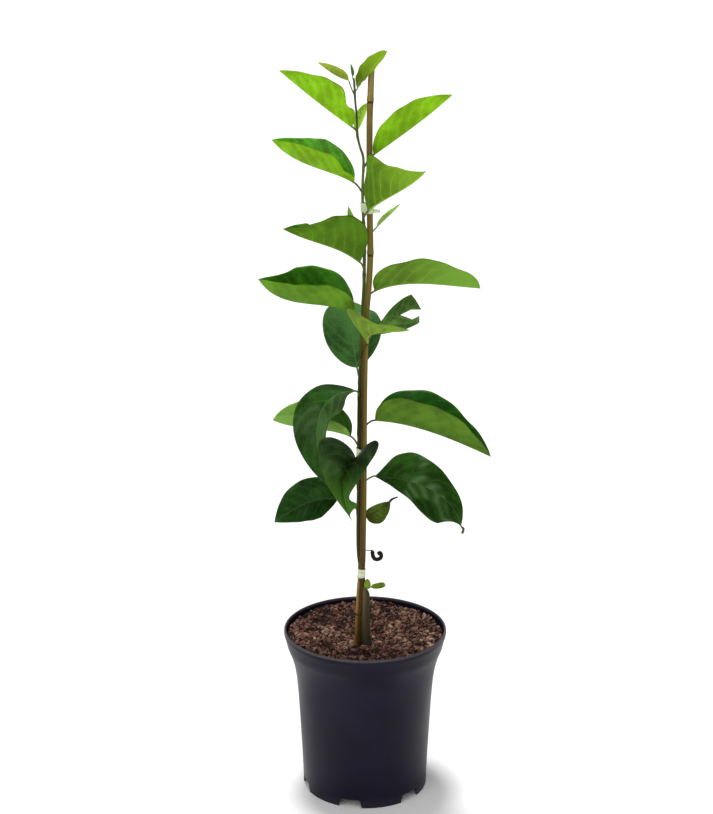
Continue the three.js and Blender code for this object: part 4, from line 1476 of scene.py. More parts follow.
@dataclass
class Leaf:
    """Leaf with its stalk as one closed skin, laid out by its midrib and by how its halves rise.

    Faces are the directions of the upper face at foot and tip, or one for both. Left and right give each
    half its width, and how steeply it rises at the midrib and at the edge, in degrees. Wave is height,
    count and start of the edge's waves, and outline shapes the blade's foot and tip. Bend is where the
    stalk turns. Each swelling has a place, a spread and a size. Lift adds to the rise at the foot, and torn
    is a line that the blade ends at. The looks that are given take the place of those of the tone.
    """

    node: str
    tone: Tone
    from_height: float
    midrib: tuple[Triple, Triple, Triple, Triple]
    faces: tuple[Triple, ...]
    left: Triple
    right: Triple
    wave: Triple
    outline: Pair = (0.62, 0.92)
    stalk: float = 1.1
    bend: Triple | None = None
    swell_left: Triple = (0.0, 1.0, 0.0)
    swell_right: Triple = (0.0, 1.0, 0.0)
    lift: float = 0.0
    upper: Colour | None = None
    under: Colour | None = None
    tip: Colour | None = None
    # Painted shade and light of the left half, as in BladeFinish.
    fold: Colour | None = None
    gleam_share: float | None = None
    vein_share: float | None = None
    stalk_colour: Colour | None = None
    torn: tuple[Pair, ...] = ()
    rows: int = 62
    columns: int = 40
    stalk_rows: int = 9
    thickness: float = 0.7
    wave_shift: float = 0.35
    row_bias: float = 1.3
    column_bias: float = 1.35
    puff: float = 0.75
    ripple: float = 0.55
    ripples: float = 4.3
    rib_taper: float = 0.72
    foot_end: float = 0.07
    groove: float = 0.22
    stalk_flare: float = 0.45

    def midrib_controls(self) -> list[np.ndarray]:
        """Return the Bezier handles of the midrib, which goes through its four points."""
        a, b, c, d = (np.array(p, float) for p in self.midrib)
        return [a, (-5 * a + 18 * b - 9 * c + 2 * d) / 6, (2 * a - 9 * b + 18 * c - 5 * d) / 6, d]

    def midrib_at(self, u: np.ndarray) -> tuple[np.ndarray, np.ndarray]:
        """Return points and unit tangents of the midrib.

        Args:
            u: Shares of the blade's length, as a column.

        Returns:
            Points and tangents, one row for each share.
        """
        a, b, c, d = self.midrib_controls()
        w = 1 - u
        points = w**3 * a + 3 * w**2 * u * b + 3 * w * u**2 * c + u**3 * d
        tangents = 3 * w**2 * (b - a) + 6 * w * u * (c - b) + 3 * u**2 * (d - c)
        return points, unit(tangents)

    def width_at(self, u: np.ndarray, half: float, swell: Triple) -> np.ndarray:
        """Return the width of one half of the blade at each share.

        Args:
            u: Shares of the blade's length.
            half: The half's greatest plain width.
            swell: Place, spread and size of its swelling.

        Returns:
            The widths.
        """
        foot, tip = self.outline
        widest = foot / (foot + tip)
        peak = widest**foot * (1 - widest) ** tip
        place, spread, size = swell
        ends = np.minimum(1.0, 6 * u) * np.minimum(1.0, 6 * (1 - u))
        swelling = size * bell(u, place, spread) * ends
        return np.maximum(half * u**foot * (1 - u) ** tip / peak + swelling, self.stalk * (0.9 - 0.75 * u))

    def relief(self, u: np.ndarray, v: np.ndarray) -> np.ndarray:
        """Return how far the blade puffs out between its veins, and its small unevenness.

        Args:
            u: Shares of its length, as a column.
            v: Shares across it from -1 to 1, as a row.

        Returns:
            The rise over the smooth blade.
        """
        side, ends = np.abs(v), u * (1 - u)
        size = max(self.left[0], self.right[0]) / 40.0
        start = u - VEIN_ARCH[0] * side - VEIN_ARCH[1] * side**2
        phase = VEIN_PAIRS * start + np.where(v < 0, VEIN_STAGGER, 0.0)
        calm = np.minimum(1.0, 6 * ends) * np.minimum(1.0, 4 * side) * (1 - side**4)
        puff = (np.abs(np.sin(np.pi * phase)) ** 0.8 - 0.6) * self.puff * size * calm
        waves = np.sin(2 * np.pi * (self.ripples * u + 0.3 * np.sign(v) + self.from_height))
        return puff + self.ripple * size * waves * side**5 * np.minimum(1.0, 5 * ends)

    def surface(self, u: np.ndarray, v: np.ndarray) -> tuple[np.ndarray, np.ndarray, np.ndarray]:
        """Return the blade's middle surface.

        Args:
            u: Shares of its length, as a column.
            v: Shares across it from -1 to 1, as a row.

        Returns:
            Points, unit normals of the upper face, and distances from the midrib.
        """
        points, along = self.midrib_at(u)
        first, last = (np.array(face, float) for face in (self.faces[0], self.faces[-1]))
        out = first + (last - first) * u
        out = unit(out - along * np.sum(out * along, axis=1, keepdims=True))
        across = np.cross(along, out)
        reach = np.zeros((len(u), v.shape[1]))
        rise = np.zeros_like(reach)
        foot_lift = self.lift * np.exp(-u / 0.1)
        left, right = (self.left, self.swell_left, v < 0), (self.right, self.swell_right, v >= 0)
        for (width, inner, outer), swell, chosen in (left, right):
            size = np.abs(v) * self.width_at(u, width, swell)
            slope = np.radians(inner + (outer - inner) * np.abs(v) / 2 + foot_lift) * np.ones_like(reach)
            reach, rise = np.where(chosen, size, reach), np.where(chosen, slope, rise)
        height, count, start = self.wave
        phase = count * u + start + np.where(v < 0, self.wave_shift, 0.0)
        calm = np.minimum(1.0, 5 * u * (1 - u))
        lift = height * np.sin(2 * np.pi * phase) * v**2 * calm + self.relief(u, v)
        sideways = np.sign(v) * reach * np.cos(rise)
        upwards = reach * np.sin(rise) + lift
        place = points[:, None] + across[:, None] * sideways[..., None] + out[:, None] * upwards[..., None]
        normal = unit(np.cross(np.gradient(place, axis=1), np.gradient(place, axis=0)))
        return place, normal, reach

    def blade_rings(self) -> tuple[Rings, np.ndarray, np.ndarray, np.ndarray]:
        """Return the blade's rings, each from the left margin over the top and back below.

        Returns:
            The rings, the share along, the share across and the reach of their points.
        """
        step = np.linspace(-1, 1, self.columns + 1)
        v = (np.sign(step) * np.abs(step) ** self.column_bias)[None]
        u = (np.linspace(0, 1, self.rows + 1) ** self.row_bias)[:, None]
        place, normal, reach = self.surface(u, v)
        margin = self.thickness / 2 * np.sqrt(1 - v**8)
        rib = self.stalk * (1 - self.rib_taper * u)
        below = np.maximum(margin, np.sqrt(np.maximum(rib**2 - reach**2, 0)))
        start = self.stalk * np.maximum(1 - u / self.foot_end, 0)
        above = np.maximum(margin, np.sqrt(np.maximum(start**2 - reach**2, 0)))
        groove = self.groove * bell(reach, 0.0, 0.9) * np.minimum(1.0, u / self.foot_end)
        top = place + normal * (above - groove)[..., None]
        under = place - normal * below[..., None]
        rings = [[Vector(p) for p in (*top[i], *under[i][-2:0:-1])] for i in range(self.rows + 1)]
        order = np.concatenate([np.arange(self.columns + 1), np.arange(self.columns - 1, 0, -1)])
        along, across = np.repeat(u, len(order), axis=1), np.repeat(v[:, order], self.rows + 1, axis=0)
        return rings, along, across, reach[:, order]

    def stalk_rings(self, stem: ScionStem) -> Rings:
        """Return the stalk's rings, from the stem's face to just before the blade.

        Args:
            stem: The stem that carries the leaf.

        Returns:
            The rings, in the blade's own order.
        """
        points, tangents = self.midrib_at(np.zeros((1, 1)))
        foot, first = Vector(points[0]), Vector(tangents[0])
        centre = stem.line.at_height(self.from_height)
        outward = (Vector(self.bend) if self.bend else foot) - centre
        outward.z = 0.0
        outward.normalize()
        start = centre + outward * (stem.radius(centre.z) - 0.5)
        handle = Vector(self.bend) if self.bend else foot - first * 0.4 * (foot - start).length
        face = Vector(self.faces[0])
        rings = []
        for i in range(self.stalk_rows):
            t = i / self.stalk_rows
            place = start * (1 - t) ** 2 + handle * 2 * t * (1 - t) + foot * t**2
            along = outward if i == 0 else ((handle - start) * (1 - t) + (foot - handle) * t).normalized()
            over = (face - along * face.dot(along)).normalized()
            side = along.cross(over)
            radius = self.stalk * (1.0 + self.stalk_flare * math.exp(-t * 9))
            turns = [math.pi - turn for turn in even_turns(2 * self.columns)]
            rings.append([place + side * radius * math.cos(a) + over * radius * math.sin(a) for a in turns])
        return rings

    def finish(self) -> BladeFinish:
        """Return the finish of the leaf's tone, with the leaf's own colours in it."""
        own = {name: getattr(self, name) for name in OWN_LOOKS if getattr(self, name) is not None}
        return replace(TONES[self.tone], **own)

    def build(self, stem: ScionStem, veins: bpy.types.NodeTree) -> None:
        """Make the leaf.

        Args:
            stem: The stem that carries it.
            veins: The shared group that draws its veins.
        """
        rings, *values = self.blade_rings()
        lead = np.zeros((self.stalk_rows, len(rings[0])))
        along, across, reach = (np.vstack([lead, part]) for part in values)
        below = np.zeros_like(along)
        below[self.stalk_rows :, self.columns + 1 :] = 1.0
        layers = {"reach": reach, "along": along, "across": across, "below": below}
        mesh = skin(self.stalk_rings(stem) + rings, layers)
        store = {name: mesh.verts.layers.float[name] for name in layers}
        chart = mesh.loops.layers.uv.new("blade")
        under = mesh.faces.layers.float.new("underside")
        for face in mesh.faces:
            face[under] = 1.0 if max(corner[store["below"]] for corner in face.verts) > 0.5 else 0.0
            for corner in face.loops:
                corner[chart].uv = (corner.vert[store["along"]], corner.vert[store["across"]])
        name = "blade_" + self.node.removeprefix("leaf_")
        piece = make_piece(name, mesh, self.finish().material(name + "_skin", veins))
        enlist(piece, self.tone.value, self.node)
        if self.torn:
            carved(piece, torn_away(self.torn))


TORN_LINE = (
    (53.2, 660), (53.2, 628), (58.5, 622), (65.4, 612), (53.5, 611), (40.6, 605), (48, 603.5),
    (54.3, 602), (63.1, 606), (62.3, 594), (57.2, 584), (56, 550), (130, 550), (130, 660),
)


def torn_away(line: Sequence[Pair], depth: float = 80.0) -> bmesh.types.BMesh:
    """Return the tool that takes away everything beyond a ragged line.

    Args:
        line: Its corners across and up.
        depth: How deep it reaches, from front to back.

    Returns:
        The tool.
    """
    mesh = bmesh.new()
    face = mesh.faces.new([mesh.verts.new((x, -depth / 2, z)) for x, z in line])
    moved = bmesh.ops.extrude_face_region(mesh, geom=[face])["geom"]
    corners = [part for part in moved if isinstance(part, bmesh.types.BMVert)]
    bmesh.ops.translate(mesh, vec=(0.0, depth, 0.0), verts=corners)
    bmesh.ops.triangulate(mesh, faces=mesh.faces)
    bmesh.ops.recalc_face_normals(mesh, faces=mesh.faces)
    return mesh


LEAVES: tuple[Leaf, ...] = (
    Leaf(
        "leaf_01_apex_left", Tone.YOUNG, 866,
        ((-19.6, -23, 882.5), (-30.2, -25, 886.4), (-41.3, -28, 893.2), (-53.5, -31, 903)),
        ((0.4, 0.1, 0.9), (0.3, 0.1, 0.9)), (12, 45, 55), (11, 45, 55), (0.3, 1, 0), (0.62, 0.8), stalk=0.7,
        bend=(-16.5, -22.8, 873), upper=(0.42, 0.55, 0.05), under=(0.4, 0.5, 0.06),
    ),
    Leaf(
        "leaf_02_apex_right", Tone.YOUNG, 870,
        ((-9.5, -27, 874.2), (-3.3, -31, 886.9), (7.7, -37, 900.4), (23.1, -42, 916.9)),
        ((-0.6, -0.6, 0.4), (-0.5, -0.7, 0.4)), (11.5, 15, 20), (10.5, 20, 30), (0.8, 4, 0.1), (0.75, 0.6),
        stalk=0.7, upper=(0.14, 0.23, 0.008), tip=(0.3, 0.5, 0.015),
    ),
    Leaf(
        "leaf_03_apex_bud", Tone.GREEN, 879,
        ((-15, -18, 886), (-15.6, -17.5, 890), (-16.4, -17, 895), (-17, -17, 900)), ((0.6, -0.8, 0),),
        (2.6, 30, 40), (2.6, 30, 40), (0, 1, 0), stalk=0.6,
    ),
    Leaf(
        "leaf_04_upper_left", Tone.YOUNG, 826,
        ((-16.2, -23, 830.4), (-42.6, -26, 850), (-70, -27, 871.4), (-97.2, -26, 893.5)),
        ((0.6, 0.25, 0.75),), (32, 45, 65), (28, 45, 65), (1, 1.5, 0.2), (0.6, 0.92),
        swell_left=(0.2, 0.09, -8), under=(0.3, 0.62, 0.012),
    ),
    Leaf(
        "leaf_05_upper_back", Tone.YOUNG, 820,
        ((-10.6, -17, 824.3), (-7.2, -14, 834.1), (-3.2, -11, 843.8), (1.9, -8, 854.7)),
        ((-0.6, -0.6, 0.5),), (9, 15, 15), (7, 15, 15), (0, 1, 0), (0.7, 0.7), stalk=0.7,
        upper=(0.42, 0.66, 0.06),
    ),
    Leaf(
        "leaf_06_upper_right", Tone.YOUNG, 784,
        ((9, -20, 798), (39, -24, 820), (69, -27, 843), (97, -28, 867)),
        ((-0.5, 0.25, 0.8), (-0.6, 0.25, 0.7)), (28, 50, 65), (29, 50, 65), (1, 1.2, 0.3), (0.75, 0.92),
        under=(0.28, 0.56, 0.01),
    ),
    Leaf(
        "leaf_07_shoulder_left", Tone.GREEN, 756,
        ((-14, -24, 767), (-45, -29, 781), (-77, -32, 794), (-106, -34, 817)),
        ((0.3, -0.22, 0.9), (0.4, -0.22, 0.85)), (32, 50, 75), (32, 50, 75), (1.2, 1.6, 0.6), (0.6, 0.72),
        swell_left=(0.12, 0.16, -15), upper=(0.14, 0.5, 0.025), under=(0.27, 0.55, 0.012),
    ),
    Leaf(
        "leaf_08_front", Tone.YOUNG, 721,
        ((3, -37, 737), (22.5, -62, 755.1), (44.2, -84, 772.2), (65.4, -104, 794.2)), ((0.57, 0.78, 0.2),),
        (28, 85, 105), (36, 5, 15), (1.5, 1.5, 0.4), (0.6, 1.15), bend=(-5, -37, 727),
        swell_right=(0.36, 0.11, 17), under=(0.13, 0.27, 0.01), tip=(0.27, 0.5, 0.025), vein_share=0.6,
    ),
    Leaf(
        "leaf_09_small_back", Tone.YOUNG, 688,
        ((-12, -15, 700), (-15, -11, 714), (-18, -8, 725), (-20, -5, 736)), ((0.3, -0.6, 0.6),),
        (5, 15, 15), (5, 15, 15), (0, 1, 0), stalk=0.8, upper=(0.3, 0.5, 0.09),
    ),
    Leaf(
        "leaf_10_large_left", Tone.GREEN, 660,
        ((-7.2, -38.5, 677.6), (-34.9, -62, 698.5), (-61.4, -81, 711.8), (-92, -96, 728)),
        ((-0.1, 0.65, 0.75), (0, -0.1, 0.95)), (43, 45, 55), (34, 45, 60), (1.5, 1.3, 0.1), (0.37, 0.85),
        under=(0.108, 0.25, 0.008), vein_share=0.25,
    ),
    Leaf(
        "leaf_11_narrow_right", Tone.YOUNG, 700,
        ((13, -17, 714), (21.5, -16, 722), (31, -16, 731), (40, -16, 741)), ((-0.6, -0.08, 0.75),),
        (9, 15, 25), (9, 15, 25), (0, 1, 0), stalk=0.8, upper=(0.44, 0.7, 0.14), under=(0.44, 0.7, 0.14),
    ),
    Leaf(
        "leaf_12_large_right", Tone.GREEN, 627,
        ((11, -19, 639), (49, -25, 649), (90, -31, 649), (132, -36, 646)), ((0, 0.25, 0.95),), (28, 45, 60),
        (31, 50, 70), (1.5, 2, 0.2), (0.42, 0.5), under=(0.15, 0.3, 0.022), vein_share=0.6,
        tip=(0.21, 0.44, 0.042),
    ),
    Leaf(
        "leaf_13_large_left", Tone.DARK, 602,
        ((-16, -27, 614), (-51, -38, 627), (-90, -50, 636), (-122, -58, 662)),
        ((0.1, -0.2, 0.95), (0.3, -0.2, 0.9)), (38, 50, 75), (41, 50, 75), (1.5, 1.4, 0.5), (0.6, 0.65),
        swell_right=(0.22, 0.2, 6), upper=(0.05, 0.22, 0.006), under=(0.15, 0.335, 0.02),
    ),
    Leaf(
        "leaf_14_large_back", Tone.DARK, 532,
        ((-10, -13, 545), (-16, 0, 582), (-16, 20, 602), (-10, 46, 608)),
        ((0.1, -0.85, 0.5), (0.1, -0.5, 0.9)), (36, 5, 20), (36, 5, 20), (1, 1.5, 0.3),
        upper=(0.045, 0.135, 0.03), tip=(0.09, 0.24, 0.055), vein_share=0.75,
    ),
    Leaf(
        "leaf_15_front", Tone.GREEN, 561,
        ((2.7, -38, 580.9), (8.3, -62, 598.7), (28.5, -84, 606.9), (49.5, -100, 613.4)),
        ((0.6, 0.4, 0.65), (0.2, 0.95, 0.2)), (6, 85, 100), (11, 5, 15), (1.5, 1.5, 0.2), (0.45, 0.9),
        bend=(-9, -37, 568), swell_right=(0.25, 0.15, 31), under=(0.205, 0.345, 0.034),
        stalk_colour=(0.08, 0.06, 0.012),
    ),
    Leaf(
        "leaf_16_torn_right", Tone.DARK, 562,
        ((6.5, -8, 582), (33.5, -2, 600), (60, 6, 616), (88, 14, 632)), ((-0.3, -0.8, 0.5),), (15, 10, 20),
        (25, 10, 20), (1, 1.5, 0.2), (1.1, 0.8), upper=(0.08, 0.175, 0.03), torn=TORN_LINE,
    ),
    Leaf(
        "leaf_17_low_right", Tone.DARK, 468,
        ((12, -20, 482), (57, -32, 478), (102, -42, 465), (147, -48, 446)), ((0.1, 0, 0.95), (0.3, 0, 0.9)),
        (44, 55, 80), (40, 55, 80), (1.5, 1.8, 0.1), (0.45, 0.85), upper=(0.013, 0.12, 0.001),
        under=(0.112, 0.24, 0.02), stalk_colour=(0.12, 0.11, 0.03),
    ),
    Leaf(
        "leaf_18_hanging_left", Tone.DARK, 512,
        ((-12, -30, 521), (-47.6, -41, 507.5), (-57.1, -45, 466.4), (-45.1, -38, 406.6)),
        ((-0.3, -0.2, 0.9), (0, -0.9, -0.1)), (14, 0, 20), (33, 5, -10), (1, 1.5, 0),
        # fold: painted light, the left half paler than the rest.
        swell_left=(0.22, 0.16, 19), upper=(0.018, 0.066, 0.006), fold=(0.048, 0.12, 0.025),
    ),
    Leaf(
        "leaf_19_low_back_left", Tone.GREEN, 452,
        ((-18, -20, 462), (-49, -10, 467), (-80, -2, 468), (-111, 6, 474)), ((0, -0.2, 0.95),),
        (26, 60, 75), (34, 45, 60), (1, 1.5, 0), (0.45, 0.5), upper=(0.05, 0.14, 0.02),
        under=(0.27, 0.52, 0.08), tip=(0.24, 0.46, 0.075),
    ),
    Leaf(
        "leaf_20_front_drooping", Tone.DARK, 424,
        ((-11.2, -54, 442.6), (-23.9, -88, 443.1), (-27.3, -103, 421.5), (-15.8, -108, 387.8)),
        ((0, -0.15, 1), (0.2, -0.9, 0)), (42, 55, 20), (44, 55, -15), (1.5, 1.5, 0.3), (0.3, 1.75),
        # fold: painted shade, the left half darker than the rest.
        swell_left=(0.86, 0.06, 15), lift=26, upper=(0.025, 0.062, 0.013), fold=(0.009, 0.026, 0.004),
        tip=(0.06, 0.17, 0.015),
    ),
    Leaf(
        "leaf_21_low_right", Tone.DARK, 402,
        ((12.6, -22, 412.9), (44.5, -38, 413.4), (85.7, -48, 399.4), (113.2, -50, 359.6)),
        ((0.1, -0.4, 0.9), (0.5, -0.7, 0.4)), (38, 15, 10), (6, 10, 0), (1.5, 2, 0.2), (0.42, 0.9),
        swell_left=(0.75, 0.15, -3), swell_right=(0.69, 0.36, 34), upper=(0.018, 0.07, 0.004),
        gleam_share=0.6, vein_share=0.3, stalk_colour=(0.26, 0.34, 0.08),
    ),
    Leaf(
        "leaf_22_lowest_left", Tone.DARK, 371,
        ((-33, -20, 383), (-59.5, -16, 380), (-84, -18, 370), (-109, -24, 355)),
        ((0, -0.7, 0.7), (-0.2, -0.7, 0.7)), (26, 10, 0), (31, 10, 0), (1, 1.5, 0.1),
        upper=(0.007, 0.042, 0.001), vein_share=0.28,
    ),
    Leaf(
        "withered_leaf", Tone.WITHERED, 369,
        ((0.8, -22, 362.1), (9.5, -24, 367), (19.5, -26, 374), (29.3, -27.5, 382.3)), ((-0.3, -0.9, 0.2),),
        (8.5, 15, 45), (13, 5, 25), (1.5, 1.5, 0.3), (0.5, 0.7), stalk=0.9, swell_right=(0.5, 0.3, 3),
    ),
    Leaf(
        "bud_leaf_upright", Tone.YOUNG, 277,
        ((1.9, -28, 270.9), (2.8, -29, 275.2), (3.1, -29, 279.1), (1.8, -28.5, 283.5)), ((-0.2, -0.9, 0),),
        (5, 20, 30), (4.5, 20, 30), (0, 1, 0), (0.4, 0.45), stalk=0.6, upper=(0.2, 0.27, 0.012),
        stalk_colour=(0.15, 0.14, 0.02),
    ),
    Leaf(
        "bud_leaf_right", Tone.YOUNG, 273.5,
        ((7.3, -26, 272.2), (13, -26, 272.4), (19.1, -26, 273.4), (24.4, -26, 275)), ((-0.2, -0.6, 0.7),),
        (4.5, 20, 30), (4.5, 20, 30), (0.3, 1, 0), (0.4, 0.35), stalk=1.0, upper=(0.22, 0.34, 0.01),
        stalk_colour=(0.2, 0.28, 0.02),
    ),
)


@dataclass
class DryTwig:
    """Dry thread or curl.

    Its radius goes from the first of its radii to the second one over the part of the line that change
    gives, and knobs tells how uneven it is.
    """

    name: str
    finish: WoodFinish
    line: CentreLine
    radii: Pair
    change: Pair
    steps: int
    nodes: tuple[str, ...] = ()
    sides: int = 14
    knobs: float = 0.25

    def build(self, grain: bpy.types.NodeTree) -> None:
        """Make the twig.

        Args:
            grain: The shared group of the wood's grain.
        """
        first, last = self.radii
        rings = []
        for i in range(self.steps + 1):
            share = i / self.steps
            radius = first + (last - first) * smoothstep(*self.change, share)
            knobs = (round_noise(turn, 1.0, share * 22) * self.knobs for turn in even_turns(self.sides))
            radii = [radius * (0.95 + knob) for knob in knobs]
            rings.append(circle(self.line.at(share), self.line.direction(share), radii))
        close_end(rings, (0.5, self.line.direction(1.0) * 0.5))
        twig = wooden(self.name, rings, self.finish, grain)
        enlist(twig, "dried_stalk", *self.nodes)


# Studio


@dataclass
class Studio:
    """Pale floor, soft light and the camera at the photo's angle."""

    camera_place: Triple = (-10.6, -2200.0, 1169.0)
    pitch: float = 17.1
    focal_pixels: float = 1932.6
    frame_height: int = 814
    key_angle: float = 12.0
    key_strength: float = 2.3
    key_from: Triple = (-0.11, 0.26, 1.5)
    fill_angle: float = 70.0
    fill_strength: float = 1.2
    fill_from: Triple = (-0.35, -1.0, 0.75)
    sky_strength: float = 0.42
    backdrop_strength: float = 1.05
    white: Colour = (1.0, 1.0, 1.0)
    paper: tuple[Colour, Colour] = ((0.9, 0.9, 0.9), (0.92, 0.92, 0.92))
    floor_half: float = 30000.0

    def add_camera(self) -> None:
        """Add the camera."""
        lens = bpy.data.cameras.new("camera")
        lens.sensor_fit = "VERTICAL"
        lens.sensor_height = 24.0
        lens.lens = self.focal_pixels * lens.sensor_height / self.frame_height
        lens.clip_end = 200.0
        camera = bpy.data.objects.new("camera", lens)
        camera.location = Vector(self.camera_place) * METRES
        camera.rotation_euler = (math.radians(90 - self.pitch), 0.0, 0.0)
        bpy.context.scene.collection.objects.link(camera)
        bpy.context.scene.camera = camera

    def add_lamp(self, name: str, origin: Triple, strength: float, angle: float) -> None:
        """Add one broad, distant lamp.

        Args:
            name: The lamp's name.
            origin: Where its light comes from.
            strength: Its strength.
            angle: How wide it is, in degrees, which softens its shadows.
        """
        lamp = bpy.data.lights.new(name, "SUN")
        lamp.energy = strength
        lamp.angle = math.radians(angle)
        holder = bpy.data.objects.new(name, lamp)
        holder.rotation_euler = Vector(origin).to_track_quat("Z", "Y").to_euler()
        bpy.context.scene.collection.objects.link(holder)

    def add_light(self) -> None:
        """Add the lamp above, the weak lamp in front and the pale surroundings."""
        self.add_lamp("key_light", self.key_from, self.key_strength, self.key_angle)
        self.add_lamp("fill_light", self.fill_from, self.fill_strength, self.fill_angle)
        world = bpy.data.worlds.new("studio")
        world.use_nodes = True
        sky, nodes = Graph(world.node_tree), world.node_tree.nodes
        glow = nodes["Background"]
        sky.feed(glow, {"Color": rgba(self.white), "Strength": self.sky_strength})
        shown = {"Color": rgba(self.white), "Strength": self.backdrop_strength}
        paper = sky.add("ShaderNodeBackground", shown)
        seen = sky.add("ShaderNodeLightPath").outputs["Is Camera Ray"]
        mixed = sky.add("ShaderNodeMixShader", {0: seen, 1: glow.outputs[0], 2: paper.outputs[0]})
        sky.feed(nodes["World Output"], {"Surface": mixed.outputs[0]})
        bpy.context.scene.world = world
        bpy.context.scene.view_settings.view_transform = "Standard"

    def add_floor(self) -> None:
        """Add the floor, wide enough to fill the view."""
        mesh = bmesh.new()
        bmesh.ops.create_grid(mesh, x_segments=8, y_segments=8, size=self.floor_half)
        material, graph, shader, _ = new_material("floor_paper")
        soft = graph.noise(graph.place(), 3.0)
        colour = graph.blend(soft, *self.paper)
        graph.feed(shader, {"Base Color": colour, "Roughness": 0.9, "Specular IOR Level": 0.1})
        make_piece("floor", mesh, material)

    def build(self) -> None:
        """Set up camera, light and floor."""
        self.add_camera()
        self.add_light()
        self.add_floor()


TRUNK_BARK = WoodFinish(
    name="trunk_bark",
    low=SOIL_LEVEL,
    high=282.0,
    stops=(
        (0.0, (0.02, 0.026, 0.01)), (0.2, (0.075, 0.066, 0.029)), (0.5, (0.15, 0.115, 0.052)),
        (0.8, (0.26, 0.185, 0.085)), (0.92, (0.12, 0.09, 0.045)), (1.0, (0.035, 0.018, 0.008)),
    ),
    streak=190.0,
    streak_colour=(0.05, 0.04, 0.02),
    streak_share=0.4,
    pore=330.0,
    pore_colour=(0.16, 0.13, 0.07),
    pore_share=0.3,
    roughness=0.75,
    relief=0.5,
    # Painted shade down the right side of the trunk.
    shaded_flanks=(ShadedFlank((0.05, 0.04, 0.021), 0.9, (0.3, 0.7), (150.0, 330.0)),),
)
SCION_SKIN = WoodFinish(
    name="scion_skin",
    low=268.0,
    high=884.0,
    stops=(
        (0.0, (0.04, 0.028, 0.005)), (0.16, (0.04, 0.03, 0.005)), (0.33, (0.028, 0.028, 0.004)),
        (0.41, (0.03, 0.036, 0.01)), (0.5, (0.055, 0.075, 0.014)), (0.6, (0.08, 0.115, 0.02)),
        (0.7, (0.09, 0.15, 0.02)), (0.79, (0.16, 0.23, 0.035)), (0.87, (0.085, 0.11, 0.025)),
        (1.0, (0.07, 0.09, 0.02)),
    ),
    streak=260.0,
    streak_colour=(0.09, 0.1, 0.03),
    streak_share=0.15,
    pore=420.0,
    pore_colour=(0.2, 0.2, 0.12),
    pore_share=0.2,
    roughness=0.5,
    relief=0.2,
)
CANE_SKIN = WoodFinish(
    name="cane_skin",
    low=SOIL_LEVEL,
    high=900.0,
    stops=(
        (0.0, (0.17, 0.105, 0.018)), (0.08, (0.26, 0.175, 0.036)), (0.125, (0.3, 0.21, 0.05)),
        (0.14, (0.14, 0.09, 0.018)), (0.17, (0.17, 0.12, 0.022)), (0.4, (0.19, 0.15, 0.02)),
        (0.7, (0.17, 0.135, 0.022)), (0.9, (0.18, 0.13, 0.03)), (0.94, (0.26, 0.19, 0.045)),
        (1.0, (0.32, 0.26, 0.1)),
    ),
    streak=300.0,
    streak_colour=(0.06, 0.03, 0.005),
    streak_share=0.45,
    pore=240.0,
    pore_colour=(0.07, 0.035, 0.01),
    pore_share=0.2,
    roughness=0.45,
    relief=0.12,
    rings=(239.0, 684.0, 859.0),
    # Painted shade down the cane's left side above the graft, and down its right side lower down.
    shaded_flanks=(
        ShadedFlank((0.05, 0.028, 0.004), 0.9, (0.85, 0.1), (300.0, 590.0)),
        ShadedFlank((0.05, 0.02, 0.004), 0.92, (0.12, 0.55), (150.0, 320.0)),
    ),
)
CURL_SKIN = WoodFinish(
    name="curl_skin",
    low=300.0,
    high=325.0,
    stops=((0.0, (0.012, 0.008, 0.005)), (1.0, (0.02, 0.012, 0.007))),
    streak=500.0,
    streak_colour=(0.04, 0.026, 0.014),
    streak_share=0.5,
    pore=600.0,
    pore_colour=(0.05, 0.03, 0.02),
    pore_share=0.3,
    roughness=0.75,
    relief=0.3,
)
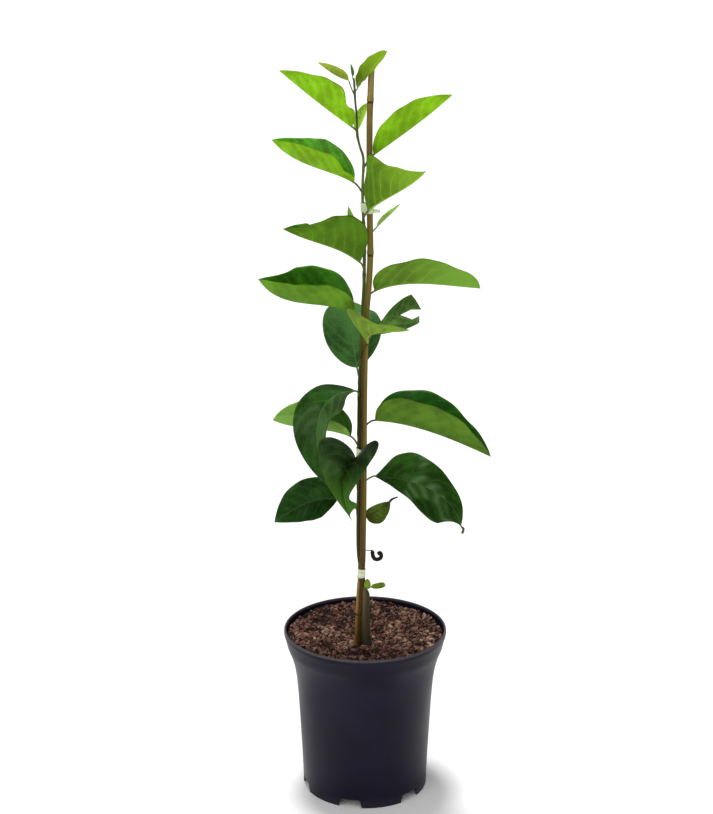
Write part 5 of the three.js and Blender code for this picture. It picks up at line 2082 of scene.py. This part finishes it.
THREAD_SKIN = replace(
    CURL_SKIN,
    name="thread_skin",
    low=345.0,
    high=390.0,
    stops=((0.0, (0.13, 0.17, 0.07)), (1.0, (0.035, 0.036, 0.016))),
)
TWIGS = (
    DryTwig(
        name="curl_dry",
        finish=CURL_SKIN,
        line=CentreLine(
            [
                (-3.9, -22, 319), (2.7, -22, 318.1), (5.7, -21.5, 317.9), (7.9, -21, 317),
                (8.8, -20.5, 314), (9.2, -20, 309.9), (11.2, -20, 306.5), (14.8, -20, 305.5),
                (18.3, -20, 307.3), (19.3, -20, 311.2), (17.6, -20, 314), (15.2, -20, 312.8),
            ]
        ),
        radii=(0.6, 2.5),
        change=(0.2, 0.35),
        steps=110,
        nodes=("dried_curl",),
    ),
    DryTwig(
        name="thread_withered",
        finish=THREAD_SKIN,
        line=CentreLine([(28, -27.3, 380), (30.2, -27.5, 384), (34, -27.8, 386.8), (38.2, -28, 388.2)]),
        radii=(1.6, 1.0),
        change=(0.2, 1.0),
        steps=30,
    ),
    DryTwig(
        name="thread_low_right",
        finish=THREAD_SKIN,
        line=CentreLine([(112.6, -49.9, 361.2), (114.4, -50, 358.4), (116.3, -50, 356), (115, -50, 350.6)]),
        radii=(0.9, 1.6),
        change=(0.1, 0.6),
        steps=30,
    ),
)


def main() -> None:
    """Build the studio, the pot and the tree."""
    logging.basicConfig(level=logging.INFO, format="%(message)s")
    Studio().build()
    pot = NurseryPot(PlasticFinish())
    pot.build()
    PottingSoil(SoilFinish(), pot).build()
    grain = wood_grain()
    Rootstock(TRUNK_BARK).build(grain)
    stem = ScionStem(SCION_SKIN, tuple(leaf.from_height for leaf in LEAVES if leaf.from_height > 300))
    stem.build(grain)
    cane = BambooCane(CANE_SKIN)
    cane.build(grain)
    tie = TieTape(TapeFinish().material(), cane, stem)
    tie.build("tie_top", 738.0, tailed=True)
    tie.build("tie_middle", 443.0)
    tie.build("tie_bottom", 292.0)
    veins = venation()
    for leaf in LEAVES:
        leaf.build(stem, veins)
    for twig in TWIGS:
        twig.build(grain)


if __name__ == "__main__":
    main()
